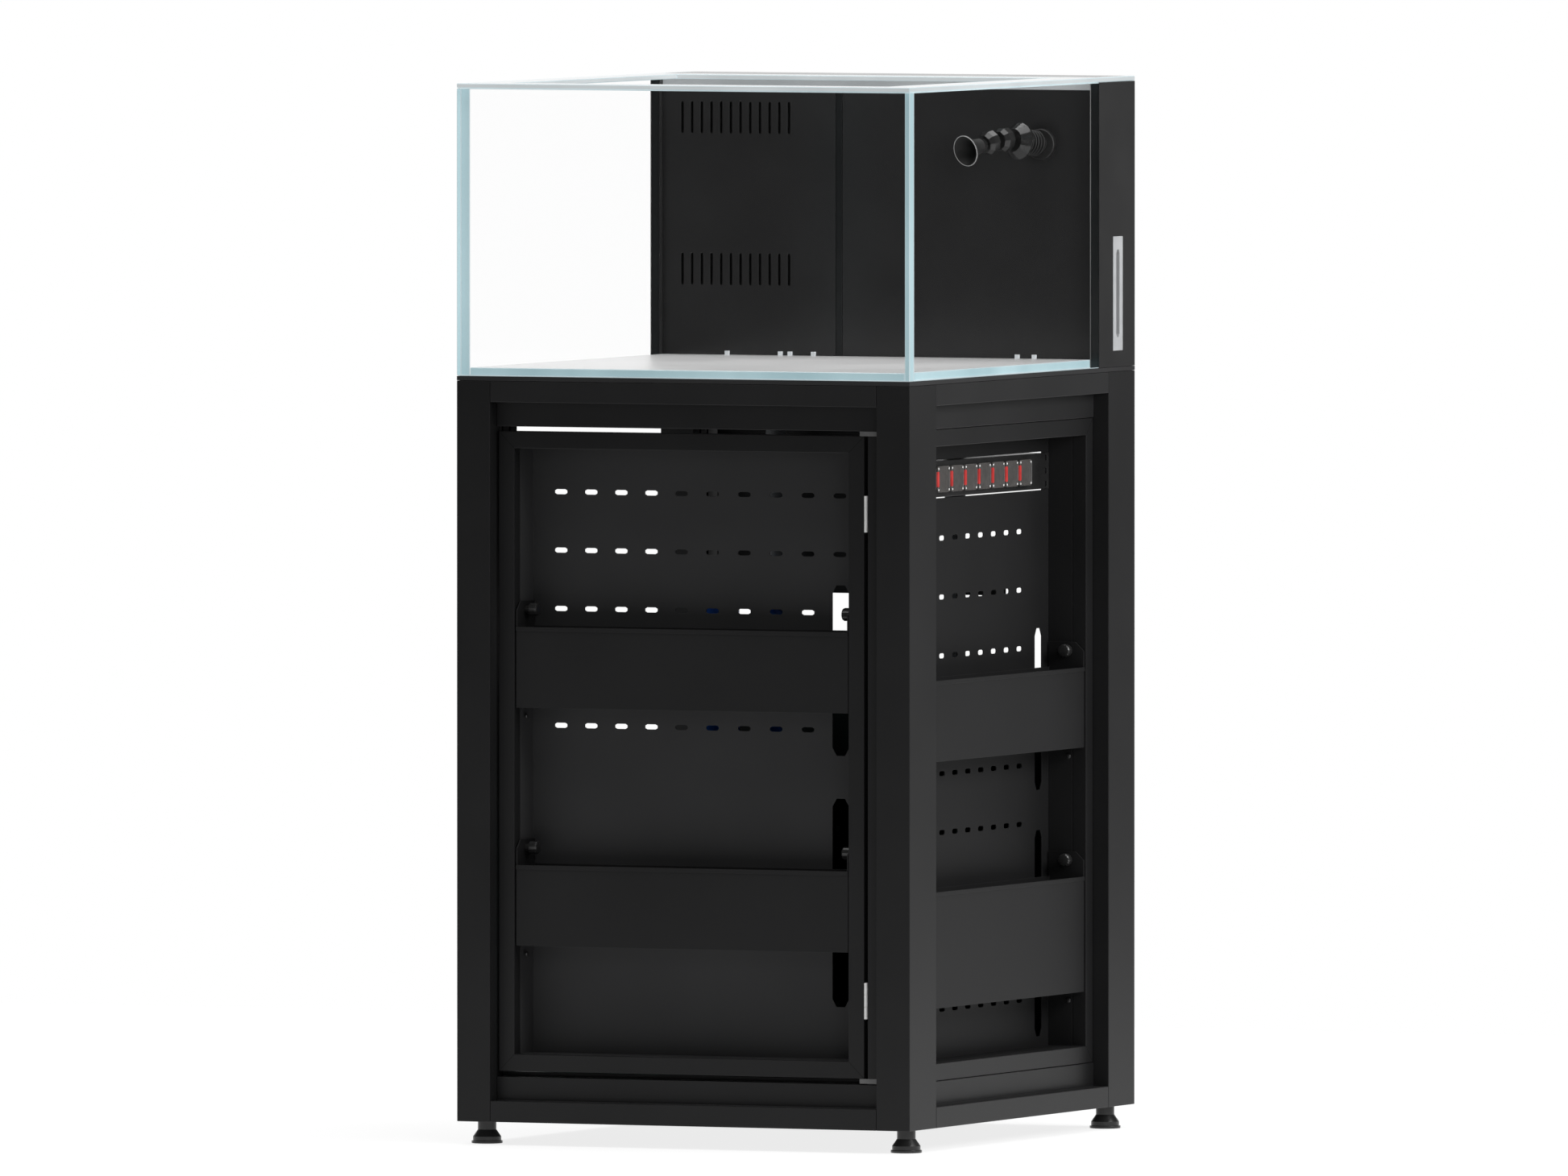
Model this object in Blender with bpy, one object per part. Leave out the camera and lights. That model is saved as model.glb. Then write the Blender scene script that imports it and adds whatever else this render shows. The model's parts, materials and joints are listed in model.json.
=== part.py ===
"""Square rimless aquarium with a rear filter box, on a profile frame stand with two equipment doors.

Metres, +Z up. The origin is the middle of the footprint, on the floor. The front faces -Y, the right side +X.
Every place is worked out from the driving dimensions below; X runs from the left face, Y from the front face.
"""
from math import acos, asin, cos, pi, radians, sin, tan

import bpy
from mathutils import Vector
from mathutils.geometry import tessellate_polygon

# ---- overall
WIDTH = 0.600
DEPTH = 0.700
FOOT_HEIGHT = 0.028
FRAME_HEIGHT = 0.903
PANEL = 0.0055
TANK_HEIGHT = 0.356
GAP = 0.0003

# ---- stand frame
POST_WIDTH = 0.044
POST_DEPTH = 0.082
REBATE = 0.020
RAIL_DEPTH = 0.044
RAIL_LIP = 0.0257
TOP_RAIL_HEIGHT = 0.0560
BOTTOM_RAIL_HEIGHT = 0.0545
GROOVE_WIDTH = 0.0040
GROOVE_DEPTH = 0.0045
GROOVE_PLACES = (0.0385, 0.0607)
BASE_PANEL = 0.0060
BACK_PANEL = 0.0040
BACK_PANEL_DROP = 0.253
BACK_PANEL_LIP = 0.0300
BACK_WINDOW_HEIGHT = 0.1000
BACK_WEB = (0.2300, 0.3000)
BACK_LIP_END = 0.4350
BACK_PANEL_SIDE_GAP = 0.0050

# ---- levelling feet
FOOT_DISC_RADIUS = 0.0190
FOOT_CUP_RADIUS = 0.0172
FOOT_STEM_RADIUS = 0.0113
FOOT_DISC_HEIGHT = 0.0034
FOOT_CUP_HEIGHT = 0.0085
FOOT_CONE_HEIGHT = 0.0170
FOOT_SIDES = 24

# ---- doors
MEMBER = 0.0207
MEMBER_DEPTH = 0.018
SHEET = 0.0015
FLANGE = 0.0140
FRONT_BOARD_DEPTH = 0.0570
SIDE_BOARD_DEPTH = 0.0510
LATCH_GAP = 0.0030
FRONT_DOOR_TOP_GAP = 0.0058
FRONT_DOOR_BOTTOM_GAP = 0.0070
SIDE_DOOR_GAP = 0.0006
STRIP_WIDTH = 0.0200
HINGE_HEIGHT = 0.0440
HINGE_INSET = 0.0945
BARREL_RADIUS = 0.0021
BARREL_CLEARANCE = 0.0005
HINGE_SIDE_CLEARANCE = 0.00025
PIN_RADIUS = 0.0009
PIN_CLEARANCE = 0.0002
LEAF = 0.0010
LEAF_WIDTH = 0.0150
KNUCKLES = 3
BARREL_FACETS = 12
PIN_SIDES = 12
HINGE_GAP = 2 * (BARREL_RADIUS + HINGE_SIDE_CLEARANCE)

# ---- slots of the mounting boards
SLOT_LENGTH = 0.0174
SLOT_WIDTH = 0.0062
SLOT_PITCH = 0.0400
FRONT_ROW_PITCH = 0.0712
FRONT_ROW_DROP = 0.0542
FRONT_ROWS = 5
FRONT_FULL_ROWS = 2
FRONT_FIRST_SLOT = 0.0370
FRONT_RIGHT_COLUMNS = 5
FRONT_RIGHT_PITCH = 0.0422
FRONT_LAST_SLOT = 0.0360
SIDE_ROW_PITCH = 0.0718
SIDE_ROW_DROP = 0.1161
SIDE_ROW_END = 0.0400
SIDE_COLUMN_END = 0.0100
SIDE_LAST_SLOT = 0.0892
CABLE_SLOT_WIDTH = 0.0220
FRONT_CABLE_INSET = 0.0348
FRONT_CABLE_DROP = 0.1615
FRONT_CABLE_UPPER = 0.2100
FRONT_CABLE_BRIDGE = 0.0493
FRONT_CABLE_RISE = 0.0613
SIDE_CABLE_INSET = 0.0300
SIDE_CABLE_DROP = 0.2350
SIDE_CABLE_UPPER = 0.2014
SIDE_CABLE_BRIDGE = 0.0465
SIDE_CABLE_RISE = 0.0109

# ---- trays
TRAY_WALL = 0.0015
TRAY_HEIGHT = 0.0985
DEEP_TRAY_HEIGHT = 0.1415
TRAY_CLEARANCE = 0.0014
TRAY_SETBACK = 0.0020
TRAY_EAR = 0.0310
TRAY_EAR_CHAMFER = 0.0110
FRONT_TRAY_RISES = (0.4223, 0.1321)
SIDE_TRAY_RISES = (0.3667, 0.0667)

# ---- power bar
BAR_HEIGHT = 0.0440
BAR_DEPTH = 0.0450
BAR_PLATE = 0.0020
BAR_DROP = 0.0217
BAR_EAR = 0.0180
BAR_END_CLEARANCE = 0.0024
BAR_OPENING_CLEARANCE = 0.0015
EAR_HOLE = 0.0064
EAR_HOLE_PITCH = 0.0159

# ---- tank
GLASS = 0.0120
FLOOR_GLASS = 0.0100
BRACE = 0.0057
BRACE_WIDTH = 0.0500
BOX_DEPTH = 0.1120
BLACK_PANEL = 0.0060
SCREEN_INSET = 0.0090
SCREEN_TOP_GAP = 0.0100
OVERFLOW_WIDTH = 0.2322
SEAM_WIDTH = 0.0086
WEIR_SLOTS = 12
WEIR_PITCH = 0.0130
WEIR_SLOT_WIDTH = 0.0034
WEIR_SLOT_HEIGHT = 0.0397
WEIR_FIRST = 0.0366
WEIR_ROW_DROPS = (0.0480, 0.2347)
LID_CLEARANCE = 0.0010
PLATE_WIDTH = 0.0306
PLATE_HEIGHT = 0.1410
PLATE_INSET = 0.0438
PLATE_RISE = 0.0095
PLATE_SLOT = 0.0102
PLATE_SLOT_HEIGHT = 0.1091

# ---- return nozzle
NOZZLE_FROM_RIGHT = 0.0800
NOZZLE_DROP = 0.0825
WALL_DISC_RADIUS = 0.0190
WALL_DISC = 0.0080
NECK_RADIUS = 0.0125
NUT_RADIUS = 0.0228
NUT_FACE_RADIUS = 0.0140
NUT_PLACE = 0.0390
NUT_RIM = 0.0040
NUT_LENGTH = 0.0140
BALL_RADIUS = 0.0100
BALL_NECK_RADIUS = 0.0062
SOCKET_GAP = 0.0005
SOCKET_WALL = 0.0025
SOCKET_RIM = 0.0045
SOCKET_LENGTH = 0.0080
BORE_RADIUS = 0.0040
BASE_LENGTH = 0.0670
LINK_LENGTH = 0.0270
FLARE_LENGTH = 0.0450
FLARE_NECK = 0.0190
FLARE_NECK_RADIUS = 0.0090
FLARE_RADIUS = 0.0195
FLARE_WALL = 0.0012
NOZZLE_SIDES = 20
ARC_STEPS = 4
NOZZLE_TURN = radians(20)
BASE_RISE = radians(6)
LINK_RISE = radians(-6)
FLARE_RISE = radians(-13)

# ---- sump and its equipment
SUMP_LEFT = 0.0600
SUMP_FRONT = 0.1250
SUMP_WIDTH = 0.3900
SUMP_DEPTH = 0.5300
SUMP_HEIGHT = 0.3600
SUMP_GLASS = 0.0080
SUMP_PUMP_CHAMBER = 0.1300
FILTER_RADIUS = 0.0300
FILTER_CAP_RADIUS = 0.0360
FILTER_HEIGHT = 0.5800
FILTER_CAP = 0.0300
FILTER_PLACES = (0.1990, 0.2810)
FILTER_FRONT = 0.3300
PUMP_WIDTH = 0.0860
PUMP_DEPTH = 0.0900
PUMP_HEIGHT = 0.0950
PUMP_CLEARANCE = 0.0030
PIPE_RADIUS = 0.0130
PIPE_WALL = 0.0020
PIPE_CLEARANCE = 0.0006
PIPE_SIDES = 20
DRAIN_PLACE = 0.1500
RETURN_PLACE = 0.3900
DRAIN_STAND = 0.0500
DRAIN_END = 0.1000

# ---- heights that follow
FRAME_BOTTOM = FOOT_HEIGHT
FRAME_TOP = FRAME_BOTTOM + FRAME_HEIGHT
TANK_BOTTOM = FRAME_TOP + PANEL
TANK_TOP = TANK_BOTTOM + TANK_HEIGHT
WALL_TOP = TANK_TOP - BRACE
BOTTOM_RAIL_TOP = FRAME_BOTTOM + BOTTOM_RAIL_HEIGHT
TOP_RAIL_BOTTOM = FRAME_TOP - TOP_RAIL_HEIGHT
BASE_TOP = BOTTOM_RAIL_TOP + BASE_PANEL
BOX_FRONT = DEPTH - BOX_DEPTH
FLOOR_TOP = TANK_BOTTOM + FLOOR_GLASS
SCREEN_FRONT = BOX_FRONT + SCREEN_INSET
SCREEN_TOP = WALL_TOP - SCREEN_TOP_GAP
PIPE_ROW = (SCREEN_FRONT + BLACK_PANEL + DEPTH - RAIL_DEPTH) / 2

BLACK_FRAME = ("black_frame", (0.016, 0.016, 0.017), 0.45, 0.0)
BLACK_SHEET = ("black_sheet", (0.018, 0.018, 0.019), 0.55, 0.0)
BLACK_ACRYLIC = ("black_acrylic", (0.010, 0.010, 0.011), 0.15, 0.0)
BLACK_PLASTIC = ("black_plastic", (0.012, 0.012, 0.012), 0.30, 0.0)
STEEL = ("steel", (0.62, 0.62, 0.60), 0.25, 1.0)
CLEAR_GLASS = ("clear_glass", (0.72, 0.86, 0.90), 0.02, 0.0)
GREEN_GLASS = ("green_glass", (0.10, 0.22, 0.18), 0.05, 0.0)
BLUE_PLASTIC = ("blue_plastic", (0.02, 0.12, 0.55), 0.20, 0.0)
GREY_PLATE = ("grey_plate", (0.55, 0.56, 0.57), 0.35, 0.0)
GREY_PVC = ("grey_pvc", (0.20, 0.21, 0.22), 0.40, 0.0)


def clear_scene():
    for obj in list(bpy.data.objects):
        bpy.data.objects.remove(obj)


def finish(finish_spec):
    name, colour, roughness, metallic = finish_spec
    material = bpy.data.materials.get(name)
    if material is None:
        material = bpy.data.materials.new(name)
        material.use_nodes = True
        shader = material.node_tree.nodes["Principled BSDF"]
        shader.inputs["Base Color"].default_value = (*colour, 1.0)
        shader.inputs["Roughness"].default_value = roughness
        shader.inputs["Metallic"].default_value = metallic
    return material


def at(x, y, z):
    """A place given from the left face, the front face and the floor, in the part's own frame."""
    return Vector((x - WIDTH / 2, y - DEPTH / 2, z))


def new_object(name, verts, faces, finish_spec, pivot=None, parent=None):
    """A mesh object from world points; with a pivot, its origin stands there."""
    origin = pivot or Vector((0, 0, 0))
    mesh = bpy.data.meshes.new(name)
    mesh.from_pydata([Vector(v) - origin for v in verts], [], faces)
    mesh.update()
    mesh.materials.append(finish(finish_spec))
    obj = bpy.data.objects.new(name, mesh)
    bpy.context.scene.collection.objects.link(obj)
    obj.location = origin
    if parent:
        obj.parent = parent
        obj.location = origin - parent.location
    return obj


def pivot_empty(name, place):
    empty = bpy.data.objects.new(name, None)
    bpy.context.scene.collection.objects.link(empty)
    empty.location = place
    return empty


PLANES = {
    "X": lambda u, v, w: at(w, u, v),
    "Y": lambda u, v, w: at(u, w, v),
    "Z": lambda u, v, w: at(u, v, w),
}


def signed_area(loop):
    pairs = zip(loop, loop[1:] + loop[:1])
    return sum(a[0] * b[1] - b[0] * a[1] for a, b in pairs) / 2


def prism_data(loops, axis, low, high):
    """Points and faces of an outline, with any holes in it, pushed along an axis from low to high."""
    outer, *holes = [list(loop) for loop in loops]
    if signed_area(outer) < 0:
        outer.reverse()
    for hole in holes:
        if signed_area(hole) > 0:
            hole.reverse()
    rings = [outer] + holes
    flat = [point for ring in rings for point in ring]
    triangles = tessellate_polygon([[Vector((u, v, 0)) for u, v in ring] for ring in rings])
    place = PLANES[axis]
    verts = [place(u, v, low) for u, v in flat] + [place(u, v, high) for u, v in flat]
    count = len(flat)
    faces = []
    for a, b, c in triangles:
        if signed_area([flat[a], flat[b], flat[c]]) < 0:
            a, c = c, a
        faces.append((c, b, a))
        faces.append((a + count, b + count, c + count))
    start = 0
    for ring in rings:
        for i in range(len(ring)):
            a = start + i
            b = start + (i + 1) % len(ring)
            faces.append((a, b, b + count, a + count))
        start += len(ring)
    if axis == "Y":
        faces = [face[::-1] for face in faces]
    return verts, faces


def prism(name, loops, axis, low, high, finish_spec, pivot=None, parent=None):
    verts, faces = prism_data(loops, axis, low, high)
    return new_object(name, verts, faces, finish_spec, pivot, parent)


def rectangle(u0, v0, u1, v1):
    return [(u0, v0), (u1, v0), (u1, v1), (u0, v1)]


def block(name, x, y, z, finish_spec, pivot=None, parent=None):
    """A plain block; x, y and z are each a (low, high) pair."""
    outline = rectangle(x[0], y[0], x[1], y[1])
    return prism(name, [outline], "Z", z[0], z[1], finish_spec, pivot, parent)


def slot_outline(u, v, length, width, upright=False):
    """A slot with rounded ends, drawn with three facets at each end."""
    half = (length - width) / 2
    points = []
    for side, centre in ((1, half), (-1, -half)):
        for angle in (-90, -30, 30, 90):
            turn = radians(angle)
            along = centre + side * cos(turn) * width / 2
            across = side * sin(turn) * width / 2
            points.append((u - across, v + along) if upright else (u + along, v + across))
    return points


def turned(name, profile, start, direction, sides, finish_spec, pivot=None, parent=None):
    """A turned solid: the profile is a closed loop of (distance along, radius), turned about its axis."""
    axis = Vector(direction).normalized()
    side = (axis.cross((0, 0, 1)) if axis.xy.length > abs(axis.z) else axis.cross((1, 0, 0))).normalized()
    other = axis.cross(side)
    area = signed_area(profile)
    loop = list(profile) if area < 0 else list(reversed(profile))
    verts = []
    rows = []
    for along, radius in loop:
        if radius == 0:
            rows.append([len(verts)] * sides)
            verts.append(start + axis * along)
            continue
        rows.append([len(verts) + i for i in range(sides)])
        for i in range(sides):
            turn = 2 * pi * i / sides
            verts.append(start + axis * along + (side * cos(turn) + other * sin(turn)) * radius)
    faces = []
    for row, after in zip(rows, rows[1:] + rows[:1]):
        for i in range(sides):
            j = (i + 1) % sides
            corners = [row[i], row[j], after[j], after[i]]
            face = tuple(dict.fromkeys(corners))
            if len(face) > 2:
                faces.append(face)
    return new_object(name, verts, faces, finish_spec, pivot, parent)


def combine(target, tool, operation):
    """Joins or subtracts a tool shape; the tool itself is only a guide."""
    tool.hide_render = True
    tool.display_type = "WIRE"
    modifier = target.modifiers.new(tool.name, "BOOLEAN")
    modifier.operation = operation
    modifier.solver = "EXACT"
    modifier.object = tool


def cut(target, name, verts, faces):
    combine(target, new_object(name, verts, faces, BLACK_SHEET), "DIFFERENCE")


def cut_prism(target, name, loops, axis, low, high):
    cut(target, name, *prism_data(loops, axis, low, high))


def mirror_x(points):
    return [(WIDTH - x, y) for x, y in points]


def mirror_y(points):
    return [(x, DEPTH - y) for x, y in points]


def post_outline():
    """The front left post from above: a plain profile with two narrow grooves in its inner wide face."""
    points = [(0, 0), (POST_WIDTH, 0)]
    for place in GROOVE_PLACES:
        points.append((POST_WIDTH, place - GROOVE_WIDTH / 2))
        points.append((POST_WIDTH - GROOVE_DEPTH, place - GROOVE_WIDTH / 2))
        points.append((POST_WIDTH - GROOVE_DEPTH, place + GROOVE_WIDTH / 2))
        points.append((POST_WIDTH, place + GROOVE_WIDTH / 2))
    return points + [(POST_WIDTH, POST_DEPTH), (0, POST_DEPTH)]


def build_posts():
    front_left = post_outline()
    outlines = {
        "post_front_left": front_left,
        "post_front_right": mirror_x(front_left),
        "post_rear_left": mirror_y(front_left),
        "post_rear_right": mirror_x(mirror_y(front_left)),
    }
    for name, outline in outlines.items():
        prism(name, [outline], "Z", FRAME_BOTTOM, FRAME_TOP - GAP, BLACK_FRAME)


def rail_outline(face, inward, outer_z, inner_z, lip):
    """A rail in section: a lip flush with the frame's face and a rebated part behind it."""
    back = face + inward * RAIL_DEPTH
    step = face + inward * REBATE
    lip_z = outer_z + lip
    return [(face, outer_z), (back, outer_z), (back, inner_z), (step, inner_z), (step, lip_z), (face, lip_z)]


def build_rails():
    levels = {
        "top": (FRAME_TOP - GAP, TOP_RAIL_BOTTOM, -RAIL_LIP),
        "bottom": (FRAME_BOTTOM, BOTTOM_RAIL_TOP, RAIL_LIP),
    }
    along_x = (POST_WIDTH + GAP, WIDTH - POST_WIDTH - GAP)
    along_y = (POST_DEPTH + GAP, DEPTH - POST_DEPTH - GAP)
    for level, (outer_z, inner_z, lip) in levels.items():
        front = rail_outline(0, 1, outer_z, inner_z, lip)
        rear = rail_outline(DEPTH, -1, outer_z, inner_z, lip)
        left = rail_outline(0, 1, outer_z, inner_z, lip)
        right = rail_outline(WIDTH, -1, outer_z, inner_z, lip)
        prism(f"{level}_rail_front", [front], "X", *along_x, BLACK_FRAME)
        prism(f"{level}_rail_rear", [rear], "X", *along_x, BLACK_FRAME)
        prism(f"{level}_rail_left", [left], "Y", *along_y, BLACK_FRAME)
        prism(f"{level}_rail_right", [right], "Y", *along_y, BLACK_FRAME)


def build_panels():
    outline = rectangle(0, 0, WIDTH, DEPTH)
    prism("top_panel", [outline, *pipe_holes()], "Z", FRAME_TOP, TANK_BOTTOM - GAP, BLACK_SHEET)
    x = (POST_WIDTH + GAP, WIDTH - POST_WIDTH - GAP)
    edge = REBATE + MEMBER_DEPTH + GAP
    block("base_panel", x, (edge, DEPTH - edge), (BOTTOM_RAIL_TOP + GAP, BASE_TOP - GAP), BLACK_SHEET)
    prism("back_panel", [back_outline()], "Y", DEPTH - REBATE + GAP, DEPTH - REBATE + BACK_PANEL, BLACK_SHEET)


def back_outline():
    """The rear sheet: closed below, cut away for hoses across a window and at the upper right."""
    left = POST_WIDTH + BACK_PANEL_SIDE_GAP
    right = WIDTH - left
    bottom = FRAME_BOTTOM + RAIL_LIP + 2 * GAP
    top = FRAME_TOP - RAIL_LIP - 2 * GAP
    upper = top - BACK_PANEL_DROP
    lower = upper - BACK_WINDOW_HEIGHT
    web_left, web_right = BACK_WEB
    return [
        (left, bottom), (right, bottom), (right, lower), (web_right, lower), (web_right, upper),
        (BACK_LIP_END, upper), (BACK_LIP_END, upper + BACK_PANEL_LIP), (web_right, upper + BACK_PANEL_LIP),
        (web_right, top), (left, top), (left, upper), (web_left, upper), (web_left, lower), (left, lower),
    ]


def circle(u, v, radius, sides):
    angles = [2 * pi * i / sides for i in range(sides)]
    return [(u + radius * cos(angle), v + radius * sin(angle)) for angle in angles]


def pipe_holes():
    radius = (PIPE_RADIUS + PIPE_CLEARANCE) / cos(pi / PIPE_SIDES)
    return [circle(x, PIPE_ROW, radius, PIPE_SIDES) for x in (DRAIN_PLACE, RETURN_PLACE)]


def build_feet():
    profile = [
        (0, 0), (0, FOOT_DISC_RADIUS),
        (FOOT_DISC_HEIGHT, FOOT_DISC_RADIUS), (FOOT_DISC_HEIGHT, FOOT_CUP_RADIUS),
        (FOOT_CUP_HEIGHT, FOOT_CUP_RADIUS), (FOOT_CONE_HEIGHT, FOOT_STEM_RADIUS),
        (FOOT_HEIGHT - GAP, FOOT_STEM_RADIUS), (FOOT_HEIGHT - GAP, 0),
    ]
    left = POST_WIDTH / 2
    front = POST_DEPTH / 2
    for depth_name, y in (("front", front), ("rear", DEPTH - front)):
        for side_name, x in (("left", left), ("right", WIDTH - left)):
            place = at(x, y, 0)
            name = f"foot_{depth_name}_{side_name}"
            turned(name, profile, place, (0, 0, 1), FOOT_SIDES, BLACK_PLASTIC, place)


class Door:
    """One equipment door: where it stands, and how depths behind its outer face map to the prism's axis."""

    def __init__(self, name, axis, hinge_edge, latch_edge, bottom, top, board_depth):
        self.name = name
        self.axis = axis
        self.low = min(hinge_edge, latch_edge)
        self.high = max(hinge_edge, latch_edge)
        self.bottom = bottom
        self.top = top
        self.board = REBATE + board_depth
        self.to_latch = 1 if latch_edge > hinge_edge else -1
        self.hinge_u = hinge_edge - self.to_latch * HINGE_GAP / 2
        self.pivot = pivot_empty(f"{name}_door_axis", self.place(self.hinge_u, REBATE, 0))
        self.frame_back = REBATE + MEMBER_DEPTH
        self.inner = (self.low + MEMBER, self.bottom + MEMBER, self.high - MEMBER, self.top - MEMBER)

    def place(self, u, depth, z):
        return at(u, depth, z) if self.axis == "Y" else at(WIDTH - depth, u, z)

    def span(self, near, far):
        return (near, far) if self.axis == "Y" else (WIDTH - far, WIDTH - near)

    def grown(self, margin):
        u0, z0, u1, z1 = self.inner
        return rectangle(u0 - margin, z0 - margin, u1 + margin, z1 + margin)

    def slab(self, node, loops, near, far, finish_spec, moves=True):
        parent = self.pivot if moves else None
        return prism(node, loops, self.axis, *self.span(near, far), finish_spec, None, parent)

    def cut(self, target, name, loops, near, far):
        cut_prism(target, name, loops, self.axis, *self.span(near, far))

    def cut_all(self, target, name, outlines, near, far):
        """Cuts many separate outlines with one cutter."""
        verts = []
        faces = []
        for outline in outlines:
            more_verts, more_faces = prism_data([outline], self.axis, *self.span(near, far))
            faces += [tuple(i + len(verts) for i in face) for face in more_faces]
            verts += more_verts
        cut(target, name, verts, faces)

    def plan(self, u, depth):
        """A point of a plan outline (seen from above) in X and Y."""
        return (u, depth) if self.axis == "Y" else (WIDTH - depth, u)


def build_door_frame(door):
    outer = rectangle(door.low, door.bottom, door.high, door.top)
    door.slab(f"{door.name}_door_frame", [outer, door.grown(0)], REBATE, door.frame_back, BLACK_FRAME)


def build_board(door, slots):
    """A folded sheet tray behind the door frame: a flange, four walls and the slotted board."""
    near = door.frame_back + GAP
    far = door.board + SHEET
    spare = SHEET
    board = door.slab(f"{door.name}_board", [door.grown(FLANGE)], near, far, BLACK_SHEET)
    door.cut(board, f"{door.name}_board_pocket", [door.grown(0)], near - spare, door.board)
    band = [door.grown(FLANGE + spare), door.grown(SHEET)]
    door.cut(board, f"{door.name}_board_band", band, near + SHEET, far + spare)
    door.cut_all(board, f"{door.name}_board_slots", slots, door.board - spare, far + spare)
    return board


def cable_slots(u, high, low, upper, bridge):
    """Two upright slots in line: the upper one has its own length, the lower one fills the rest."""
    for start, end in ((high, high - upper), (high - upper - bridge, low)):
        yield slot_outline(u, (start + end) / 2, start - end, CABLE_SLOT_WIDTH, upright=True)


def front_slots(door):
    left, bottom, right, top = door.inner
    last = right - FRONT_LAST_SLOT
    right_columns = [last - i * FRONT_RIGHT_PITCH for i in reversed(range(FRONT_RIGHT_COLUMNS))]
    first = left + FRONT_FIRST_SLOT
    left_count = int((right_columns[0] - first) / SLOT_PITCH)
    columns = [first + i * SLOT_PITCH for i in range(left_count)] + right_columns
    outlines = []
    for row in range(FRONT_ROWS):
        z = top - FRONT_ROW_DROP - row * FRONT_ROW_PITCH
        kept = columns if row < FRONT_FULL_ROWS else columns[:-1]
        outlines += [slot_outline(u, z, SLOT_LENGTH, SLOT_WIDTH) for u in kept]
    high = top - FRONT_CABLE_DROP
    low = bottom + FRONT_CABLE_RISE
    outlines += cable_slots(right - FRONT_CABLE_INSET, high, low, FRONT_CABLE_UPPER, FRONT_CABLE_BRIDGE)
    return outlines


def side_slots(door):
    front, bottom, rear, top = door.inner
    first_row = top - SIDE_ROW_DROP
    last_column = rear - SIDE_LAST_SLOT
    rows = int((first_row - bottom - SIDE_ROW_END) / SIDE_ROW_PITCH) + 1
    columns = int((last_column - front - SIDE_COLUMN_END) / SLOT_PITCH) + 1
    outlines = []
    for row in range(rows):
        z = first_row - row * SIDE_ROW_PITCH
        for column in range(columns):
            outlines.append(slot_outline(last_column - column * SLOT_PITCH, z, SLOT_LENGTH, SLOT_WIDTH))
    high = top - SIDE_CABLE_DROP
    low = bottom + SIDE_CABLE_RISE
    outlines += cable_slots(rear - SIDE_CABLE_INSET, high, low, SIDE_CABLE_UPPER, SIDE_CABLE_BRIDGE)
    return outlines


def build_tray(door, name, rise, height):
    """An open tray of folded sheet between the walls of the board, with an ear standing up at each end."""
    u0, bottom, u1, _ = door.inner
    u0 += TRAY_CLEARANCE
    u1 -= TRAY_CLEARANCE
    floor = bottom + rise
    rim = floor + height
    near = REBATE + TRAY_SETBACK
    far = door.board - TRAY_CLEARANCE
    spare = TRAY_WALL
    tray = door.slab(name, [rectangle(u0, floor, u1, rim + TRAY_EAR)], near, far, BLACK_SHEET)
    inside = rectangle(u0 + TRAY_WALL, floor + TRAY_WALL, u1 - TRAY_WALL, rim + TRAY_EAR + spare)
    door.cut(tray, f"{name}_inside", [inside], near + TRAY_WALL, far - TRAY_WALL)
    above = rectangle(u0 + TRAY_WALL, rim, u1 - TRAY_WALL, rim + TRAY_EAR + spare)
    door.cut(tray, f"{name}_above", [above], near - spare, far + spare)
    chamfer = [
        (near - spare, rim + TRAY_EAR - TRAY_EAR_CHAMFER - spare),
        (near + TRAY_EAR_CHAMFER + spare, rim + TRAY_EAR + spare),
        (near - spare, rim + TRAY_EAR + spare),
    ]
    other_axis = "X" if door.axis == "Y" else "Y"
    if door.axis == "X":
        chamfer = [(WIDTH - depth, z) for depth, z in chamfer]
    cut_prism(tray, f"{name}_chamfer", [chamfer], other_axis, u0 - spare, u1 + spare)
    return tray


def hinge_outline(door, side):
    """A barrel with one leaf running back from it, in plan; side is +1 or -1 along the door's width."""
    meet = acos((BARREL_RADIUS - LEAF) / BARREL_RADIUS)
    points = []
    for step in range(BARREL_FACETS + 1):
        turn = -(2 * pi - meet) * step / BARREL_FACETS
        across = side * BARREL_RADIUS * cos(turn)
        points.append((door.hinge_u + across, REBATE + BARREL_RADIUS * sin(turn)))
    outer = door.hinge_u + side * BARREL_RADIUS
    back = REBATE + LEAF_WIDTH
    points += [(outer - side * LEAF, back), (outer, back)]
    return [door.plan(*point) for point in points]


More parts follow.
